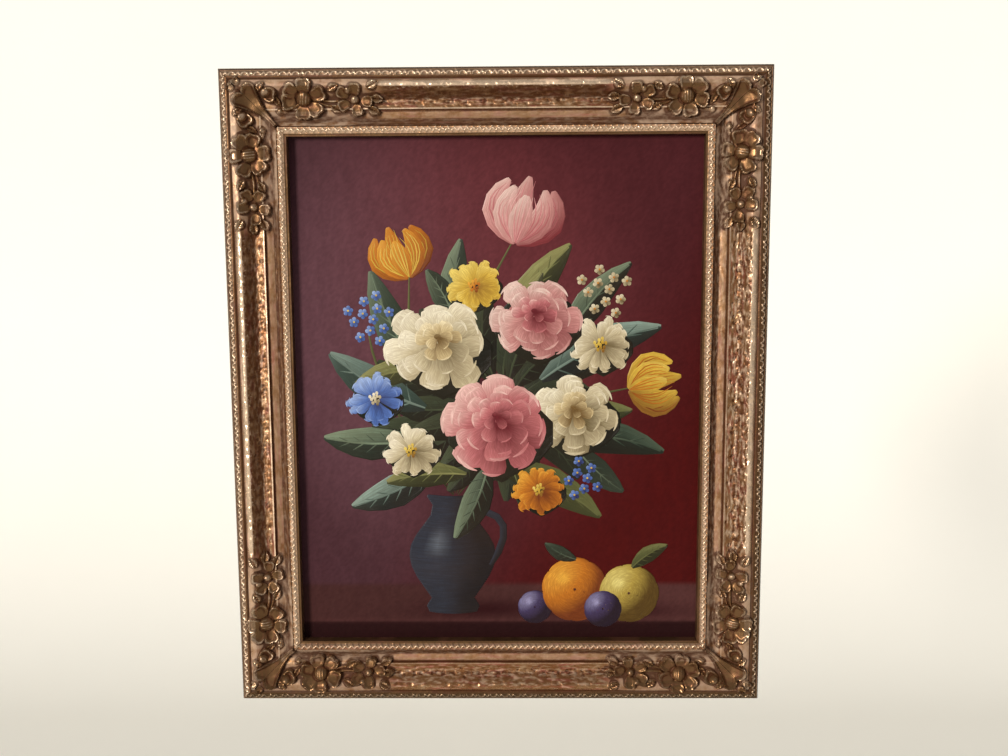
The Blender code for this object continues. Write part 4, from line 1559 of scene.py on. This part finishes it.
# %% The picture
def paint_picture(painter):
    mouth = (JUG_X + 4, JUG_MOUTH)
    for end, bow in STEMS:
        paint_stem(painter, mouth, end, bow)
    for i in range(DARK_LEAVES):
        out = towards(i * SCATTER_TURN)
        base = np.array([-2, -10]) + out * 26
        reach = 52 + 34 * (i % 5) / 4
        paint_leaf(painter, base, base + out * [1.15, 1.05] * reach, 32, DARK_GREEN, 0.2)
    for i, (base, tip, width) in enumerate(LEAVES_BEHIND):
        paint_leaf(painter, base, tip, width, (TEAL, GREEN, GREEN, OLIVE)[i % 4])
    paint_jug(painter)
    paint_tulip(painter, (-84, 114), math.radians(110), 50, ORANGE, YELLOW)
    paint_tulip(painter, (18, 146), math.radians(74), 62, ROSE, PINK)
    paint_tulip(painter, (128, 4), math.radians(12), 50, YELLOW, ORANGE)
    for base, tip, width, tones in LEAVES_BETWEEN:
        paint_leaf(painter, base, tip, width, tones, -0.1)
    paint_small_blooms(painter, (-124, 74), 25, 12, BLUE, YELLOW)
    paint_small_blooms(painter, (104, 102), 26, 11, CREAM, ORANGE)
    paint_daisy(painter, (-22, 106), 27, 12, YELLOW, ORANGE)
    paint_daisy(painter, (100, 48), 31, 13, CREAM, YELLOW)
    paint_daisy(painter, (-120, -4), 28, 12, BLUE, CREAM)
    paint_full_bloom(painter, (36, 72), 44, ROSE, PINK)
    paint_full_bloom(painter, (-58, 46), 50, CREAM, CREAM_HEART)
    paint_full_bloom(painter, (74, -22), 43, CREAM, CREAM_HEART)
    paint_leaf(painter, (-10, -70), (-44, -146), 32, GREEN)
    paint_full_bloom(painter, (-2, -32), 54, PINK)
    paint_daisy(painter, (-86, -56), 29, 12, CREAM, YELLOW)
    paint_daisy(painter, (40, -96), 27, 13, ORANGE, YELLOW)
    paint_small_blooms(painter, (84, -84), 20, 8, BLUE, YELLOW)
    paint_ball(painter, (36, -216), 17, PLUM_FRUIT)
    paint_ball(painter, (76, -198), 33, ORANGE)
    paint_ball(painter, (130, -202), 30, PEAR)
    paint_ball(painter, (104, -218), 19, PLUM_FRUIT)
    paint_leaf(painter, (132, -176), (168, -152), 18, OLIVE)
    paint_leaf(painter, (78, -167), (46, -150), 16, GREEN)


painter = Painter(np.random.default_rng(SEED + 20))
paint_picture(painter)
print(f"{len(painter.strokes)} brush strokes")


# %% [markdown]
# The paint gets fine marks along each stroke, small dabs that run over all of them, and a thin warm
# varnish that lies unevenly.

# %% Oil paint with bristle marks
VARNISH = (0.16, 0.075, 0.030)
THINNED = (0.5, 0.42, 0.38)


def oil_paint():
    finish = Finish("oil_paint", Specular_IOR_Level=0.15)
    paint = finish.attribute("paint", output=0)
    bristle, lengthwise = finish.attribute("bristle"), finish.attribute("lengthwise")
    marks = finish.drawn_out(bristle * 1.1, lengthwise * 0.4, 3.0)
    multiply = {"data_type": "RGBA", "blend_type": "MULTIPLY"}
    darker = finish.node("ShaderNodeMix", multiply, {0: 0.50, 6: paint, 7: THINNED}, output=2)
    dabs = finish.noise(4.5, 4.0, (1.0, 1.0, 0.7), rough=0.65)
    glaze = finish.noise(50.0, 3.0)
    colour = finish.blend(marks.between(0.42, 0.62), darker, paint)
    colour = finish.blend((1 - dabs.between(0.36, 0.60)) * 0.5, colour, darker)
    colour = finish.blend(0.16 * glaze, colour, VARNISH)
    finish.set(
        Base_Color=colour,
        Roughness=0.28 + 0.12 * marks,
        Normal=finish.bump(marks + dabs * 0.6, 0.20),
    )
    return finish.material


strokes = stand("brush_strokes", painter.mesh("brush_strokes"), oil_paint())
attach(strokes, "root")
print(f"{strokes.name}: {triangles(strokes)} triangles")

# %% [markdown]
# ## The stretcher
#
# The four bars behind the canvas are planed softwood, mitred at the corners. Their solids have the
# right shape already, so they only get a finish: growth rings stretched along the bar, a few darker
# streaks, and dust. Upright and level bars need the grain along different axes.

# %% Planed softwood
PINE_LIGHT = (0.52, 0.36, 0.20)
PINE_DARK = (0.30, 0.17, 0.08)
DUST = (0.36, 0.30, 0.24)


def planed_pine(name, stretch):
    finish = Finish(name)
    rings = finish.noise(5.0, 4.0, stretch)
    fibres = finish.noise(0.7, 2.0, stretch)
    dust = finish.noise(60.0, 3.0)
    colour = finish.blend(rings.between(0.40, 0.64), PINE_LIGHT, PINE_DARK)
    finish.set(
        Base_Color=finish.blend(0.35 * dust, colour, DUST),
        Roughness=0.62 + 0.2 * dust,
        Normal=finish.bump(rings + fibres * 0.4, 0.2),
    )
    return finish.material


level = planed_pine("pine_level", (0.04, 1, 1))
upright = planed_pine("pine_upright", (1, 1, 0.04))
for side, wood in (("top", level), ("bottom", level), ("left", upright), ("right", upright)):
    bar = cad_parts[f"stretcher_{side}"]
    bar.data.materials.clear()
    bar.data.materials.append(wood)
print("stretcher finished")
